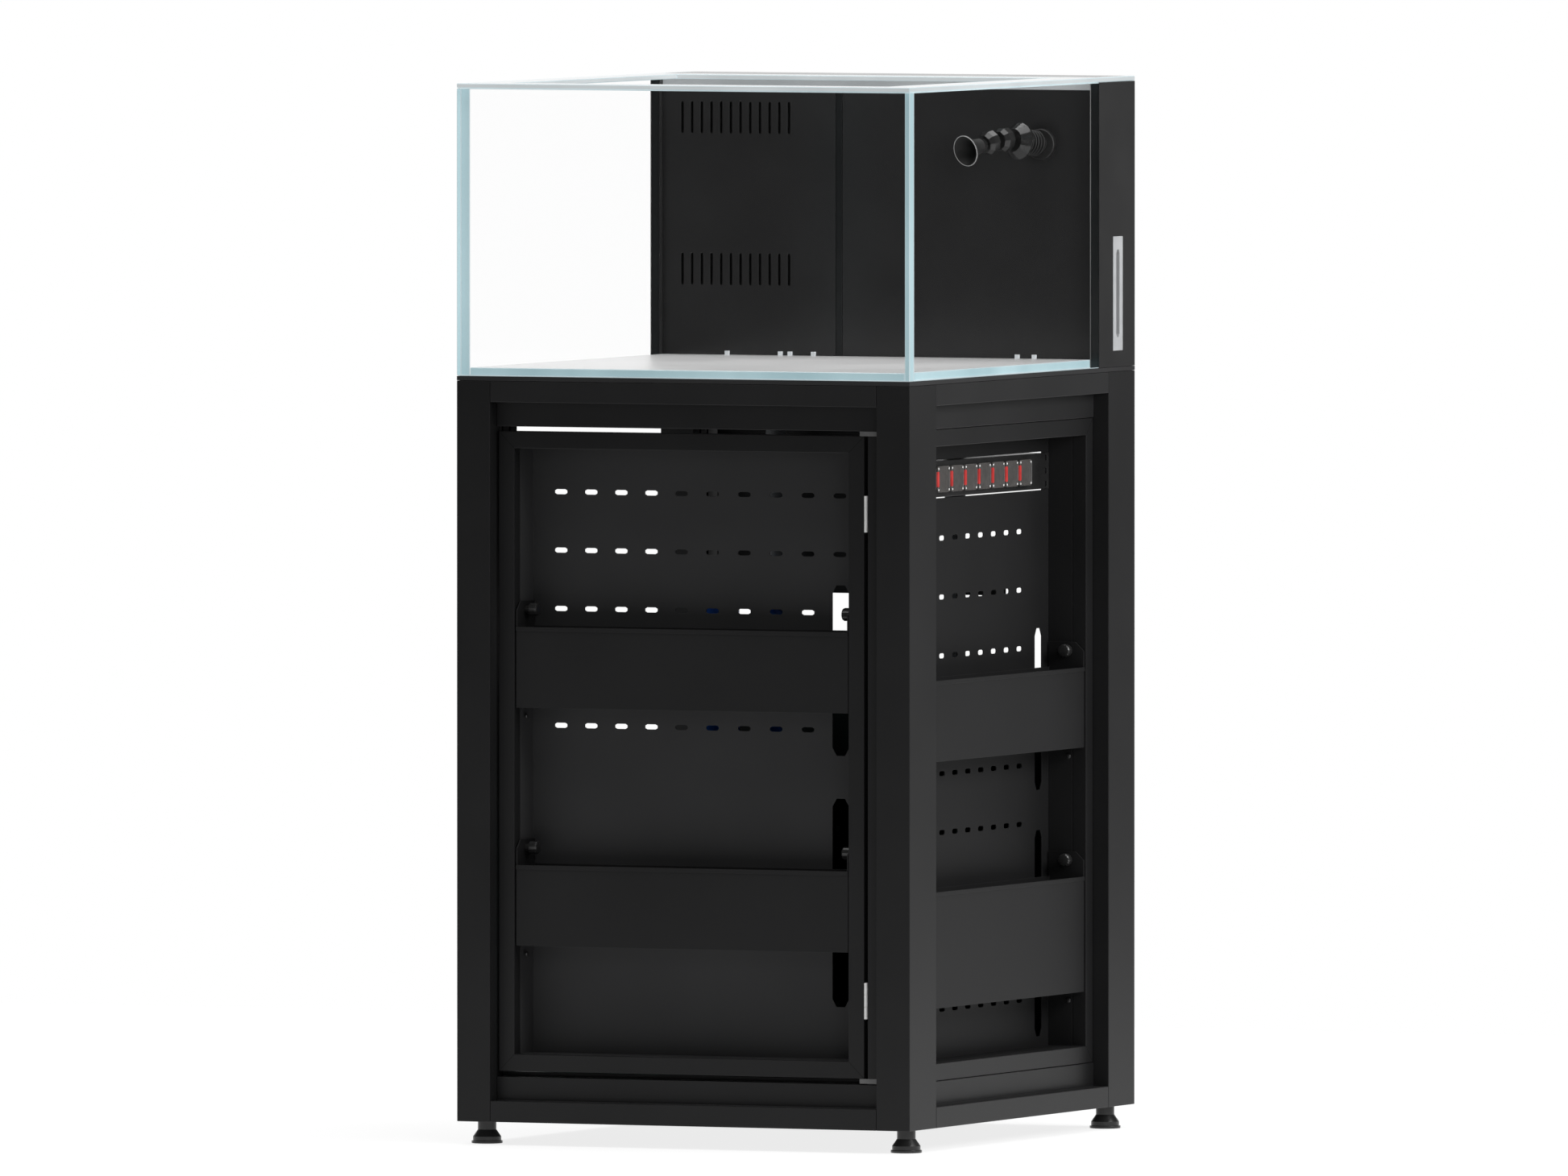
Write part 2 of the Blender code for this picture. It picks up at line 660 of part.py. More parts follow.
def build_hinge(door, name, centre_z):
    """A three-knuckle butt hinge: the fixed leaf holds the pin, the door's leaf has the middle knuckle."""
    low = centre_z - HINGE_HEIGHT / 2
    high = centre_z + HINGE_HEIGHT / 2
    knuckle = HINGE_HEIGHT / KNUCKLES
    middle = (low + knuckle, high - knuckle)
    reach = BARREL_RADIUS + BARREL_CLEARANCE
    notch = rectangle(door.hinge_u - reach, REBATE - reach, door.hinge_u + reach, REBATE + reach)
    notch = [door.plan(*point) for point in notch]

    fixed = prism(f"{door.name}_hinge_{name}", [hinge_outline(door, -door.to_latch)], "Z", low, high, STEEL)
    cut_prism(fixed, f"{fixed.name}_notch", [notch], "Z", middle[0] - GAP, middle[1] + GAP)
    length = HINGE_HEIGHT - knuckle
    profile = [(0, 0), (0, PIN_RADIUS), (length, PIN_RADIUS), (length, 0)]
    start = door.place(door.hinge_u, REBATE, low + knuckle / 2)
    combine(fixed, turned(f"{fixed.name}_pin", profile, start, (0, 0, 1), PIN_SIDES, STEEL), "UNION")

    outline = hinge_outline(door, door.to_latch)
    leaf = prism(f"{door.name}_door_hinge_{name}", [outline], "Z", low, high, STEEL, None, door.pivot)
    spare = knuckle / 2
    cut_prism(leaf, f"{leaf.name}_low", [notch], "Z", low - spare, middle[0])
    cut_prism(leaf, f"{leaf.name}_high", [notch], "Z", middle[1], high + spare)
    hole = PIN_RADIUS + PIN_CLEARANCE
    profile = [(0, 0), (0, hole), (HINGE_HEIGHT, hole), (HINGE_HEIGHT, 0)]
    start = door.place(door.hinge_u, REBATE, low)
    combine(leaf, turned(f"{leaf.name}_bore", profile, start, (0, 0, 1), PIN_SIDES, STEEL), "DIFFERENCE")


def build_strip(door):
    """The upright between the hinges and the post."""
    near = door.hinge_u - door.to_latch * HINGE_GAP / 2
    far = near - door.to_latch * (STRIP_WIDTH - GAP)
    outline = rectangle(min(near, far), BOTTOM_RAIL_TOP + GAP, max(near, far), TOP_RAIL_BOTTOM - GAP)
    door.slab(f"{door.name}_hinge_strip", [outline], REBATE, door.frame_back, BLACK_FRAME, moves=False)


def build_power_bar(door, board):
    """A rack-height socket bar: its front plate lies on the board, its body stands through an opening."""
    u0, _, u1, top = door.inner
    u0 += BAR_END_CLEARANCE
    u1 -= BAR_END_CLEARANCE
    high = top - BAR_DROP
    low = high - BAR_HEIGHT
    plate = door.board - GAP - BAR_PLATE
    back = door.board - GAP
    end = back + BAR_DEPTH
    points = [
        (u0, plate), (u1, plate), (u1, back), (u1 - BAR_EAR, back), (u1 - BAR_EAR, end),
        (u0 + BAR_EAR, end), (u0 + BAR_EAR, back), (u0, back),
    ]
    outline = [door.plan(*point) for point in points]
    bar = prism("power_bar", [outline], "Z", low, high, BLACK_PLASTIC, None, door.pivot)
    middle = (low + high) / 2
    holes = []
    for u in (u0 + BAR_EAR / 2, u1 - BAR_EAR / 2):
        for step in (-1, 0, 1):
            z = middle + step * EAR_HOLE_PITCH
            half = EAR_HOLE / 2
            holes.append(rectangle(u - half, z - half, u + half, z + half))
    door.cut_all(bar, "power_bar_ear_holes", holes, plate - BAR_PLATE, back + BAR_PLATE)
    room = BAR_OPENING_CLEARANCE
    opening = rectangle(u0 + BAR_EAR - room, low - room, u1 - BAR_EAR + room, high + room)
    door.cut(board, f"{door.name}_board_opening", [opening], door.board - SHEET, door.board + 2 * SHEET)


def build_doors():
    front = Door(
        "front", "Y", WIDTH - POST_WIDTH - STRIP_WIDTH - HINGE_GAP, POST_WIDTH + LATCH_GAP,
        BOTTOM_RAIL_TOP + FRONT_DOOR_BOTTOM_GAP, TOP_RAIL_BOTTOM - FRONT_DOOR_TOP_GAP, FRONT_BOARD_DEPTH,
    )
    side = Door(
        "side", "X", POST_DEPTH + STRIP_WIDTH + HINGE_GAP, DEPTH - POST_DEPTH - LATCH_GAP,
        BOTTOM_RAIL_TOP + SIDE_DOOR_GAP, TOP_RAIL_BOTTOM - SIDE_DOOR_GAP, SIDE_BOARD_DEPTH,
    )
    build_board(front, front_slots(front))
    build_power_bar(side, build_board(side, side_slots(side)))
    for door in (front, side):
        build_door_frame(door)
        build_strip(door)
        build_hinge(door, "upper", front.top - HINGE_INSET)
        build_hinge(door, "lower", front.bottom + HINGE_INSET)
    build_tray(front, "front_tray_upper", FRONT_TRAY_RISES[0], TRAY_HEIGHT)
    build_tray(front, "front_tray_lower", FRONT_TRAY_RISES[1], TRAY_HEIGHT)
    build_tray(side, "side_tray_upper", SIDE_TRAY_RISES[0], TRAY_HEIGHT)
    build_tray(side, "side_tray_lower", SIDE_TRAY_RISES[1], DEEP_TRAY_HEIGHT)


def build_panes():
    inner = GLASS + GAP
    outline = rectangle(inner, inner, WIDTH - inner, DEPTH - inner)
    prism("floor_pane", [outline, *pipe_holes()], "Z", TANK_BOTTOM, FLOOR_TOP, CLEAR_GLASS)
    z = (TANK_BOTTOM, WALL_TOP - GAP)
    block("front_pane", (0, WIDTH), (0, GLASS), z, CLEAR_GLASS)
    block("left_pane", (0, GLASS), (inner, BOX_FRONT - GAP), z, CLEAR_GLASS)
    block("right_pane", (WIDTH - GLASS, WIDTH), (inner, BOX_FRONT - GAP), z, CLEAR_GLASS)


def build_brace():
    """The glass collar that lies on the walls; its two rear arms run back beside the lid."""
    back = SCREEN_FRONT + BLACK_PANEL
    outline = [
        (0, 0), (WIDTH, 0), (WIDTH, DEPTH), (WIDTH - GLASS, DEPTH),
        (WIDTH - GLASS, back), (GLASS, back), (GLASS, DEPTH), (0, DEPTH),
    ]
    opening = rectangle(BRACE_WIDTH, BRACE_WIDTH, WIDTH - BRACE_WIDTH, back - BRACE_WIDTH)
    prism("brace", [outline, opening], "Z", WALL_TOP, TANK_TOP, CLEAR_GLASS)


def build_filter_box():
    """The black box behind the display: two sides, a back, the weir screen, the return panel and the lid."""
    inner = GLASS + GAP
    z = (TANK_BOTTOM, WALL_TOP - GAP)
    low = FLOOR_TOP + PLATE_RISE
    near = BOX_FRONT + PLATE_INSET
    block("box_side_left", (0, GLASS), (BOX_FRONT, DEPTH), z, BLACK_ACRYLIC)
    block("box_back", (inner, WIDTH - inner), (DEPTH - GLASS, DEPTH), z, BLACK_ACRYLIC)
    window = rectangle(near, low, near + PLATE_WIDTH, low + PLATE_HEIGHT)
    wall = rectangle(BOX_FRONT, z[0], DEPTH, z[1])
    prism("box_side_right", [wall, window], "X", WIDTH - GLASS, WIDTH, BLACK_ACRYLIC)
    plate = rectangle(near + GAP, low + GAP, near + PLATE_WIDTH - GAP, low + PLATE_HEIGHT - GAP)
    centre = (near + PLATE_WIDTH / 2, low + PLATE_HEIGHT / 2)
    slot = slot_outline(*centre, PLATE_SLOT_HEIGHT, PLATE_SLOT, upright=True)
    prism("level_plate", [plate, slot], "X", WIDTH - GLASS / 2, WIDTH, GREY_PLATE)

    screen = (SCREEN_FRONT, SCREEN_FRONT + BLACK_PANEL)
    bottom = FLOOR_TOP + GAP
    seam = GLASS + OVERFLOW_WIDTH
    slots = []
    for drop in WEIR_ROW_DROPS:
        for i in range(WEIR_SLOTS):
            x = WEIR_FIRST + WEIR_SLOT_WIDTH / 2 + i * WEIR_PITCH
            slots.append(slot_outline(x, WALL_TOP - drop, WEIR_SLOT_HEIGHT, WEIR_SLOT_WIDTH, upright=True))
    outline = rectangle(inner, bottom, seam - GAP, SCREEN_TOP)
    prism("weir_screen", [outline, *slots], "Y", *screen, BLACK_ACRYLIC)
    block("screen_seam", (seam, seam + SEAM_WIDTH), screen, (bottom, SCREEN_TOP), BLACK_ACRYLIC)
    panel = (seam + SEAM_WIDTH + GAP, WIDTH - inner)
    block("return_panel", panel, screen, (bottom, SCREEN_TOP), BLACK_ACRYLIC)
    x = (GLASS + LID_CLEARANCE, WIDTH - GLASS - LID_CLEARANCE)
    y = (SCREEN_FRONT + BLACK_PANEL + LID_CLEARANCE, DEPTH)
    place = at(WIDTH / 2, (y[0] + y[1]) / 2, WALL_TOP)
    block("box_lid", x, y, (WALL_TOP, TANK_TOP), BLACK_ACRYLIC, place)


def aim(rise):
    """The way a nozzle piece points: turned to the left of straight out, and raised or dipped."""
    return Vector((-sin(NOZZLE_TURN) * cos(rise), -cos(NOZZLE_TURN) * cos(rise), sin(rise)))


def ball_profile(centre):
    """The front end of a nozzle piece: a neck, then a ball, open through its middle."""
    neck = pi - asin(BALL_NECK_RADIUS / BALL_RADIUS)
    mouth = asin(BORE_RADIUS / BALL_RADIUS)
    turns = [neck + (mouth - neck) * i / (2 * ARC_STEPS) for i in range(2 * ARC_STEPS + 1)]
    return [(centre + BALL_RADIUS * cos(t), BALL_RADIUS * sin(t)) for t in turns]


def socket_profile():
    """The rear end of a nozzle piece, from its bore round the rim to the outside of the socket."""
    inner = BALL_RADIUS + SOCKET_GAP
    outer = inner + SOCKET_WALL
    bore = asin(BORE_RADIUS / inner)
    rim = pi - acos(SOCKET_RIM / inner)
    turns = [bore + (rim - bore) * i / (2 * ARC_STEPS) for i in range(2 * ARC_STEPS + 1)]
    cup = [(inner * cos(t), inner * sin(t)) for t in turns]
    return cup + [(-SOCKET_RIM, outer), (SOCKET_LENGTH, outer)]


def build_nozzle():
    foot = at(WIDTH - NOZZLE_FROM_RIGHT, SCREEN_FRONT - GAP, TANK_TOP - NOZZLE_DROP)
    out = Vector((0, -1, 0))
    way = aim(BASE_RISE)
    disc = [(0, 0), (0, WALL_DISC_RADIUS), (WALL_DISC, WALL_DISC_RADIUS), (WALL_DISC, 0)]
    base = turned("nozzle_base", disc, foot, out, NOZZLE_SIDES, BLACK_PLASTIC)
    start = NECK_RADIUS * tan(way.angle(out)) + GAP
    stem = [
        (start, 0), (start, NECK_RADIUS), (NUT_PLACE, NECK_RADIUS), (NUT_PLACE, NUT_RADIUS),
        (NUT_PLACE + NUT_RIM, NUT_RADIUS), (NUT_PLACE + NUT_LENGTH, NUT_FACE_RADIUS),
        (NUT_PLACE + NUT_LENGTH, BALL_NECK_RADIUS),
        *ball_profile(BASE_LENGTH), (BASE_LENGTH, BORE_RADIUS), (BASE_LENGTH, 0),
    ]
    combine(base, turned("nozzle_stem", stem, foot, way, NOZZLE_SIDES, BLACK_PLASTIC), "UNION")

    first = foot + way * BASE_LENGTH
    way = aim(LINK_RISE)
    link = [*socket_profile(), (LINK_LENGTH - BALL_RADIUS, BALL_NECK_RADIUS), *ball_profile(LINK_LENGTH)]
    turned("nozzle_link", link, first, way, NOZZLE_SIDES, BLACK_PLASTIC, first)

    second = first + way * LINK_LENGTH
    flare = [
        *socket_profile(), (FLARE_NECK, FLARE_NECK_RADIUS), (FLARE_LENGTH, FLARE_RADIUS),
        (FLARE_LENGTH, FLARE_RADIUS - FLARE_WALL), (FLARE_NECK, BORE_RADIUS),
    ]
    turned("nozzle_flare", flare, second, aim(FLARE_RISE), NOZZLE_SIDES, BLACK_PLASTIC, second)


def build_sump():
    """An open glass sump on the base panel, with a pump chamber at its rear."""
    x = (SUMP_LEFT, SUMP_LEFT + SUMP_WIDTH)
    y = (SUMP_FRONT, SUMP_FRONT + SUMP_DEPTH)
    z = (BASE_TOP, BASE_TOP + SUMP_HEIGHT)
    wall = SUMP_GLASS
    sump = block("sump", x, y, z, GREEN_GLASS)
    divide = y[1] - wall - SUMP_PUMP_CHAMBER
    front = rectangle(x[0] + wall, y[0] + wall, x[1] - wall, divide - wall)
    back = rectangle(x[0] + wall, divide, x[1] - wall, y[1] - wall)
    cut_prism(sump, "sump_front_chamber", [front], "Z", z[0] + wall, z[1] + wall)
    cut_prism(sump, "sump_back_chamber", [back], "Z", z[0] + wall, z[1] + wall)

    floor = z[0] + wall + GAP
    cap = FILTER_HEIGHT - FILTER_CAP
    column = [
        (0, 0), (0, FILTER_RADIUS), (cap, FILTER_RADIUS), (cap, FILTER_CAP_RADIUS),
        (FILTER_HEIGHT, FILTER_CAP_RADIUS), (FILTER_HEIGHT, 0),
    ]
    for name, place in zip(("filter_column_left", "filter_column_right"), FILTER_PLACES):
        turned(name, column, at(place, FILTER_FRONT, floor), (0, 0, 1), PIPE_SIDES, BLUE_PLASTIC)

    half = PUMP_WIDTH / 2
    rear = y[1] - wall - PUMP_CLEARANCE
    pump_y = (rear - PUMP_DEPTH, rear)
    pump_top = floor + PUMP_HEIGHT
    block("return_pump", (RETURN_PLACE - half, RETURN_PLACE + half), pump_y, (floor, pump_top), BLACK_PLASTIC)
    pipe = pipe_profile(TANK_TOP - NOZZLE_DROP - pump_top)
    turned("return_pipe", pipe, at(RETURN_PLACE, PIPE_ROW, pump_top + GAP), (0, 0, 1), PIPE_SIDES, GREY_PVC)
    low = floor + DRAIN_END
    pipe = pipe_profile(FLOOR_TOP + DRAIN_STAND - low)
    turned("drain_pipe", pipe, at(DRAIN_PLACE, PIPE_ROW, low), (0, 0, 1), PIPE_SIDES, GREY_PVC)


def pipe_profile(length):
    bore = PIPE_RADIUS - PIPE_WALL
    return [(0, bore), (0, PIPE_RADIUS), (length, PIPE_RADIUS), (length, bore)]


clear_scene()
build_posts()
build_rails()
build_panels()
build_feet()
build_doors()
build_panes()
build_brace()
build_filter_box()
build_nozzle()
build_sump()
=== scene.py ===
"""The finished look of a square rimless aquarium with a rear filter box, on a black profile stand."""
import json
from math import cos, pi, radians, sin

import bmesh
import bpy
from mathutils import Matrix, Vector


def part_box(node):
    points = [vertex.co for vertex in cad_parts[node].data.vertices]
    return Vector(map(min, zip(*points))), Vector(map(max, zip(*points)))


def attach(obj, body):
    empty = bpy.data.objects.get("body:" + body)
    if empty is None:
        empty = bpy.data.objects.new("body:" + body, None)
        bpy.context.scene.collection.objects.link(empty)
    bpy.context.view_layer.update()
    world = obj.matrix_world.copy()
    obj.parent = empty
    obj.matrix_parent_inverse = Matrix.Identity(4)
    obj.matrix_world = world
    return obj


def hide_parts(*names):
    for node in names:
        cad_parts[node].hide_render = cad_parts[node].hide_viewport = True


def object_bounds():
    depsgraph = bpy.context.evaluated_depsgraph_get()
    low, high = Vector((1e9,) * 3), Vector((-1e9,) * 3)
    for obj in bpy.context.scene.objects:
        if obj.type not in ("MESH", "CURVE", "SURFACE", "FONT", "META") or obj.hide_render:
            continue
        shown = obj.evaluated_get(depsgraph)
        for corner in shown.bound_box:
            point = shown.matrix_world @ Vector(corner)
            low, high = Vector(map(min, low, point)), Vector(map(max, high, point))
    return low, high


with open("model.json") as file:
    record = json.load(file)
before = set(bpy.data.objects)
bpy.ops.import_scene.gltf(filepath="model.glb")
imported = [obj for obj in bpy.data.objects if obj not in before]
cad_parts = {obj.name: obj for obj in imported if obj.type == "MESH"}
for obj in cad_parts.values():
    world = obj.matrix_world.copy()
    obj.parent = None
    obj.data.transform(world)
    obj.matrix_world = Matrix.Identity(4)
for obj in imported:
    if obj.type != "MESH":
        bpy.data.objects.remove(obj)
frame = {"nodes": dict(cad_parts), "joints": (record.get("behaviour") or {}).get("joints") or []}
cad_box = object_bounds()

# ---- The studio.
# A pale floor under a white backdrop, a soft light overhead, one at the right and a small one at the front.
# Only the backdrop straight behind the object is bright, so black faces that turn away from it stay black.
SENSOR = 36.0
LENS = 805.38
CAMERA_PLACE = (17.05836, -39.32136, 2.27357)
CAMERA_TILT = 2.142
CAMERA_TURN = 23.474
CAMERA_SIGHT = 400.0
FLOOR_REACH = 2.6
FLOOR_GLOW = 0.82
BEHIND = (-sin(radians(CAMERA_TURN)), cos(radians(CAMERA_TURN)))
LOBE = (0.74, 0.93)
SURROUND = 0.10
GRAZING_POWER = 11.0
OVERHEAD = 3.0
OVERHEAD_SPREAD = 70

scene = bpy.context.scene
scene.view_settings.view_transform = "Standard"
camera_data = bpy.data.cameras.new("camera")
camera_data.lens = LENS
camera_data.sensor_width = SENSOR
camera_data.clip_end = CAMERA_SIGHT
camera = bpy.data.objects.new("camera", camera_data)
camera.location = CAMERA_PLACE
camera.rotation_euler = (radians(90 - CAMERA_TILT), 0, radians(CAMERA_TURN))
scene.collection.objects.link(camera)
scene.camera = camera


def area_light(name, place, target, size, power):
    """A flat lamp that faces its target."""
    data = bpy.data.lights.new(name, "AREA")
    data.shape = "RECTANGLE"
    data.size, data.size_y = size
    data.energy = power
    light = bpy.data.objects.new(name, data)
    light.location = place
    light.rotation_euler = (Vector(target) - Vector(place)).to_track_quat("-Z", "Y").to_euler()
    scene.collection.objects.link(light)


area_light("right_light", (2.6, -0.3, 1.7), (0.3, 0, 1.2), (1.3, 1.3), 56)
area_light("front_light", (2.9, -4.3, 1.75), (0, 0, 1.0), (0.9, 0.9), 16)

sky_data = bpy.data.lights.new("overhead_light", "SUN")
sky_data.energy = OVERHEAD
sky_data.angle = radians(OVERHEAD_SPREAD)
sky = bpy.data.objects.new("overhead_light", sky_data)
sky.location = (0, 0, 6)
scene.collection.objects.link(sky)

world = bpy.data.worlds.new("backdrop")
scene.world = world


def plug(entry, value):
    """Gives an input a link or a plain value."""
    if isinstance(value, Wire):
        value.tree.links.new(value.socket, entry)
    else:
        entry.default_value = value


class Wire:
    """One output of a shader node; arithmetic on it adds Math nodes."""

    def __init__(self, tree, socket):
        self.tree = tree
        self.socket = socket

    def math(self, operation, *values):
        node = self.tree.nodes.new("ShaderNodeMath")
        node.operation = operation
        for entry, value in zip(node.inputs, values):
            plug(entry, value)
        return Wire(self.tree, node.outputs[0])

    def __add__(self, other):
        return self.math("ADD", self, other)

    __radd__ = __add__

    def __sub__(self, other):
        return self.math("SUBTRACT", self, other)

    def __rsub__(self, other):
        return self.math("SUBTRACT", other, self)

    def __mul__(self, other):
        return self.math("MULTIPLY", self, other)

    __rmul__ = __mul__

    def __truediv__(self, other):
        return self.math("DIVIDE", self, other)

    def __abs__(self):
        return self.math("ABSOLUTE", self)

    def below(self, limit):
        return self.math("LESS_THAN", self, limit)


class Finish:
    """A node tree being wired: nodes come from add, and its own shader takes what set gives it."""

    def __init__(self, owner, kind="ShaderNodeBsdfPrincipled"):
        owner.use_nodes = True
        self.owner = owner
        self.tree = owner.node_tree
        self.tree.nodes.clear()
        self.shader = self.tree.nodes.new(kind)
        target = "World" if isinstance(owner, bpy.types.World) else "Material"
        self.output = self.tree.nodes.new(f"ShaderNodeOutput{target}")
        self.surface(Wire(self.tree, self.shader.outputs[0]))

    def add(self, kind, values=None, output=0, stops=(), **settings):
        node = self.tree.nodes.new(kind)
        for name, value in settings.items():
            setattr(node, name, value)
        if stops:
            for element, (place, shade) in zip(node.color_ramp.elements, stops):
                element.position = place
                element.color = (*shade, 1.0)
        for name, value in (values or {}).items():
            plug(node.inputs[name], value)
        return Wire(self.tree, node.outputs[output])

    def set(self, **values):
        for name, value in values.items():
            plug(self.shader.inputs[name.replace("_", " ")], value)

    def surface(self, wire):
        self.tree.links.new(wire.socket, self.output.inputs[0])

    def place(self):
        return self.add("ShaderNodeTexCoord", output="Object")

    def split(self, vector):
        parts = self.tree.nodes.new("ShaderNodeSeparateXYZ")
        plug(parts.inputs[0], vector)
        return [Wire(self.tree, output) for output in parts.outputs]

    def noise(self, scale, detail=2.0, stretch=None):
        where = self.place()
        if stretch:
            where = self.add("ShaderNodeMapping", {"Vector": where, "Scale": stretch})
        return self.add("ShaderNodeTexNoise", {"Vector": where, "Scale": scale, "Detail": detail})

    def tint(self, amount, first, second):
        return self.add("ShaderNodeValToRGB", {"Fac": amount}, stops=[(0.3, first), (0.7, second)])

    def mix(self, amount, first, second):
        return self.add("ShaderNodeMix", {0: amount, 6: first, 7: second}, 2, data_type="RGBA")

    def bump(self, height, strength, distance):
        return self.add("ShaderNodeBump", {"Height": height, "Strength": strength, "Distance": distance})

    def grazing(self, base):
        """How much of a clear surface's light is reflected: little face on, nearly all edge on."""
        facing = self.add("ShaderNodeLayerWeight", {"Blend": 0.5}, "Facing")
        return facing.math("POWER", facing, GRAZING_POWER) * (1 - base) + base


backdrop = Finish(world, "ShaderNodeBackground")
across, along, _ = backdrop.split(backdrop.add("ShaderNodeTexCoord"))
toward = across * BEHIND[0] + along * BEHIND[1]
lobe = {"Value": toward, "From Min": LOBE[0], "From Max": LOBE[1], "To Min": SURROUND, "To Max": 1.0}
brightness = backdrop.add("ShaderNodeMapRange", lobe, interpolation_type="SMOOTHSTEP")
seen = backdrop.add("ShaderNodeLightPath", output="Is Camera Ray")
backdrop.set(Strength=seen.math("MAXIMUM", seen, brightness), Color=(1, 1, 1, 1))

floor_mesh = bpy.data.meshes.new("floor")
reach = (-FLOOR_REACH, FLOOR_REACH)
corners = [(x, y, 0) for x in reach for y in reach]
floor_mesh.from_pydata(corners, [], [(0, 2, 3, 1)])
floor = bpy.data.objects.new("floor", floor_mesh)
scene.collection.objects.link(floor)
pale = Finish(bpy.data.materials.new("pale_floor"))
pale.set(Base_Color=pale.tint(pale.noise(3.0), (0.19, 0.19, 0.19), (0.21, 0.21, 0.21)), Roughness=0.9)
pale.set(Specular_IOR_Level=0.0, Emission_Color=(1, 1, 1, 1), Emission_Strength=FLOOR_GLOW)
floor_mesh.materials.append(pale.owner)


# ---- The stand's frame.
# Posts and rails are extruded aluminium profiles, sawn square and bolted at the corners.
# A fine satin black powder coat rounds every edge a little; the top rails' paler coat is painted light.
FRAME_EDGE = 0.0007
SHARP = radians(28)
SAME_PLACE = 1e-5
FLAT = radians(0.5)
COAT_DARK = (0.0080, 0.0080, 0.0083)
COAT_LIGHT = (0.0115, 0.0115, 0.0119)
COAT_ROUGHNESS = 0.42
COAT_SHINE = 0.25
COAT_PEEL = 0.10
DRIFT_SCALE = 7.0
SPECKLE_SCALE = 1500.0
PEEL_SCALE = 650.0
PEEL_DEPTH = 0.0002
SEAM_SHADE = (0.001, 0.001, 0.001, 1.0)
# Painted light: the top rails' coat is paler, so the top of the stand is drawn lighter, as if more light fell
# there.
TOP_PAINTED_LIGHT_DARK_END = (0.0120, 0.0120, 0.0124)
TOP_PAINTED_LIGHT_PALE_END = (0.0165, 0.0165, 0.0170)


def clean_copy(node):
    """A CAD node's shape as one merged mesh with whole flat faces."""
    shape = bmesh.new()
    shape.from_mesh(frame["nodes"][node].data)
    bmesh.ops.remove_doubles(shape, verts=shape.verts, dist=SAME_PLACE)
    bmesh.ops.dissolve_limit(shape, angle_limit=FLAT, verts=shape.verts, edges=shape.edges)
    return shape


def round_edges(shape, radius, steps=2):
    """Bevels every edge that is a corner."""
    edges = [e for e in shape.edges if len(e.link_faces) == 2 and e.calc_face_angle(0) > SHARP]
    bmesh.ops.bevel(shape, geom=edges, offset=radius, segments=steps, profile=0.5,
                    affect="EDGES", clamp_overlap=True)


def piece(name, shape, materials, body, slot, *nodes, smooth=False):
    """Makes a bmesh into a piece that rides on a body and stands for CAD nodes."""
    mesh = bpy.data.meshes.new(name)
    shape.to_mesh(mesh)
    shape.free()
    for material in materials:
        mesh.materials.append(material)
    if smooth:
        mesh.shade_smooth()
        mesh.set_sharp_from_angle(angle=SHARP)
    obj = bpy.data.objects.new(name, mesh)
    scene.collection.objects.link(obj)
    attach(obj, body)
    if nodes:
        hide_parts(*nodes)


def coated(node, material, body, slot, radius):
    """A CAD node's shape with rounded edges and one finish."""
    shape = clean_copy(node)
    round_edges(shape, radius)
    piece("coated_" + node, shape, [material], body, slot, node)


def powder_coat(name, dark, light, roughness, texture, seam=None):
    """Baked powder: a faint orange peel and a speckle over a shade that drifts; a seam is a dark hairline."""
    coat = Finish(bpy.data.materials.new(name))
    drift = coat.noise(DRIFT_SCALE)
    speckle = coat.noise(SPECKLE_SCALE, 1.0)
    shade = coat.tint(0.7 * drift + 0.3 * speckle, dark, light)
    rough = roughness + 0.10 * (speckle - 0.5) + 0.06 * (drift - 0.5)
    height = coat.noise(PEEL_SCALE, 3.0)
    if seam:
        line = seam(coat)
        shade = coat.mix(line, shade, SEAM_SHADE)
        rough = rough + 0.3 * line
        height = height - line
    coat.set(Base_Color=shade, Roughness=rough, Normal=coat.bump(height, texture, PEEL_DEPTH))
    coat.set(Specular_IOR_Level=COAT_SHINE)
    return coat.owner


frame_coat = powder_coat("frame_powder_coat", COAT_DARK, COAT_LIGHT, COAT_ROUGHNESS, COAT_PEEL)
painted_light_top_coat = powder_coat("top_rail_coat_painted_light", TOP_PAINTED_LIGHT_DARK_END, TOP_PAINTED_LIGHT_PALE_END, COAT_ROUGHNESS, COAT_PEEL)
for level, rail_coat in (("top", painted_light_top_coat), ("bottom", frame_coat)):
    for side in ("front", "rear", "left", "right"):
        coated(f"{level}_rail_{side}", rail_coat, "stand", "black_frame", FRAME_EDGE)
for depth in ("front", "rear"):
    for side in ("left", "right"):
        coated(f"post_{depth}_{side}", frame_coat, "stand", "black_frame", FRAME_EDGE)
for door in ("front", "side"):
    coated(f"{door}_hinge_strip", frame_coat, "stand", "black_frame", FRAME_EDGE)


# ---- The panels of the stand.
# Thin sheet closes the top, the bottom and the rear; the top one is a mat that beds the tank.
# The rear sheet is cut away where hoses pass.
PANEL_EDGE = 0.0004
sheet_coat = powder_coat("sheet_powder_coat", (0.0070, 0.0070, 0.0073), (0.0100, 0.0100, 0.0104),
                         roughness=0.55, texture=0.14)
# Painted light: the mat's shades, paler than the frame's, light the top of the stand as on the top rails.
painted_light_mat_coat = powder_coat("foam_mat_painted_light", (0.0190, 0.0190, 0.0196), (0.0250, 0.0250, 0.0257),
                       roughness=0.62, texture=0.30)
coated("top_panel", painted_light_mat_coat, "stand", "black_sheet", PANEL_EDGE)
for node in ("base_panel", "back_panel"):
    coated(node, sheet_coat, "stand", "black_sheet", PANEL_EDGE)


# ---- The doors.
# Each is a mitred profile frame with a folded, slotted board behind it and two sheet trays.
# The mitres show as a hairline from the inner to the outer corner of the frame.
MITRE = 0.00045
SHEET_EDGE = 0.0004


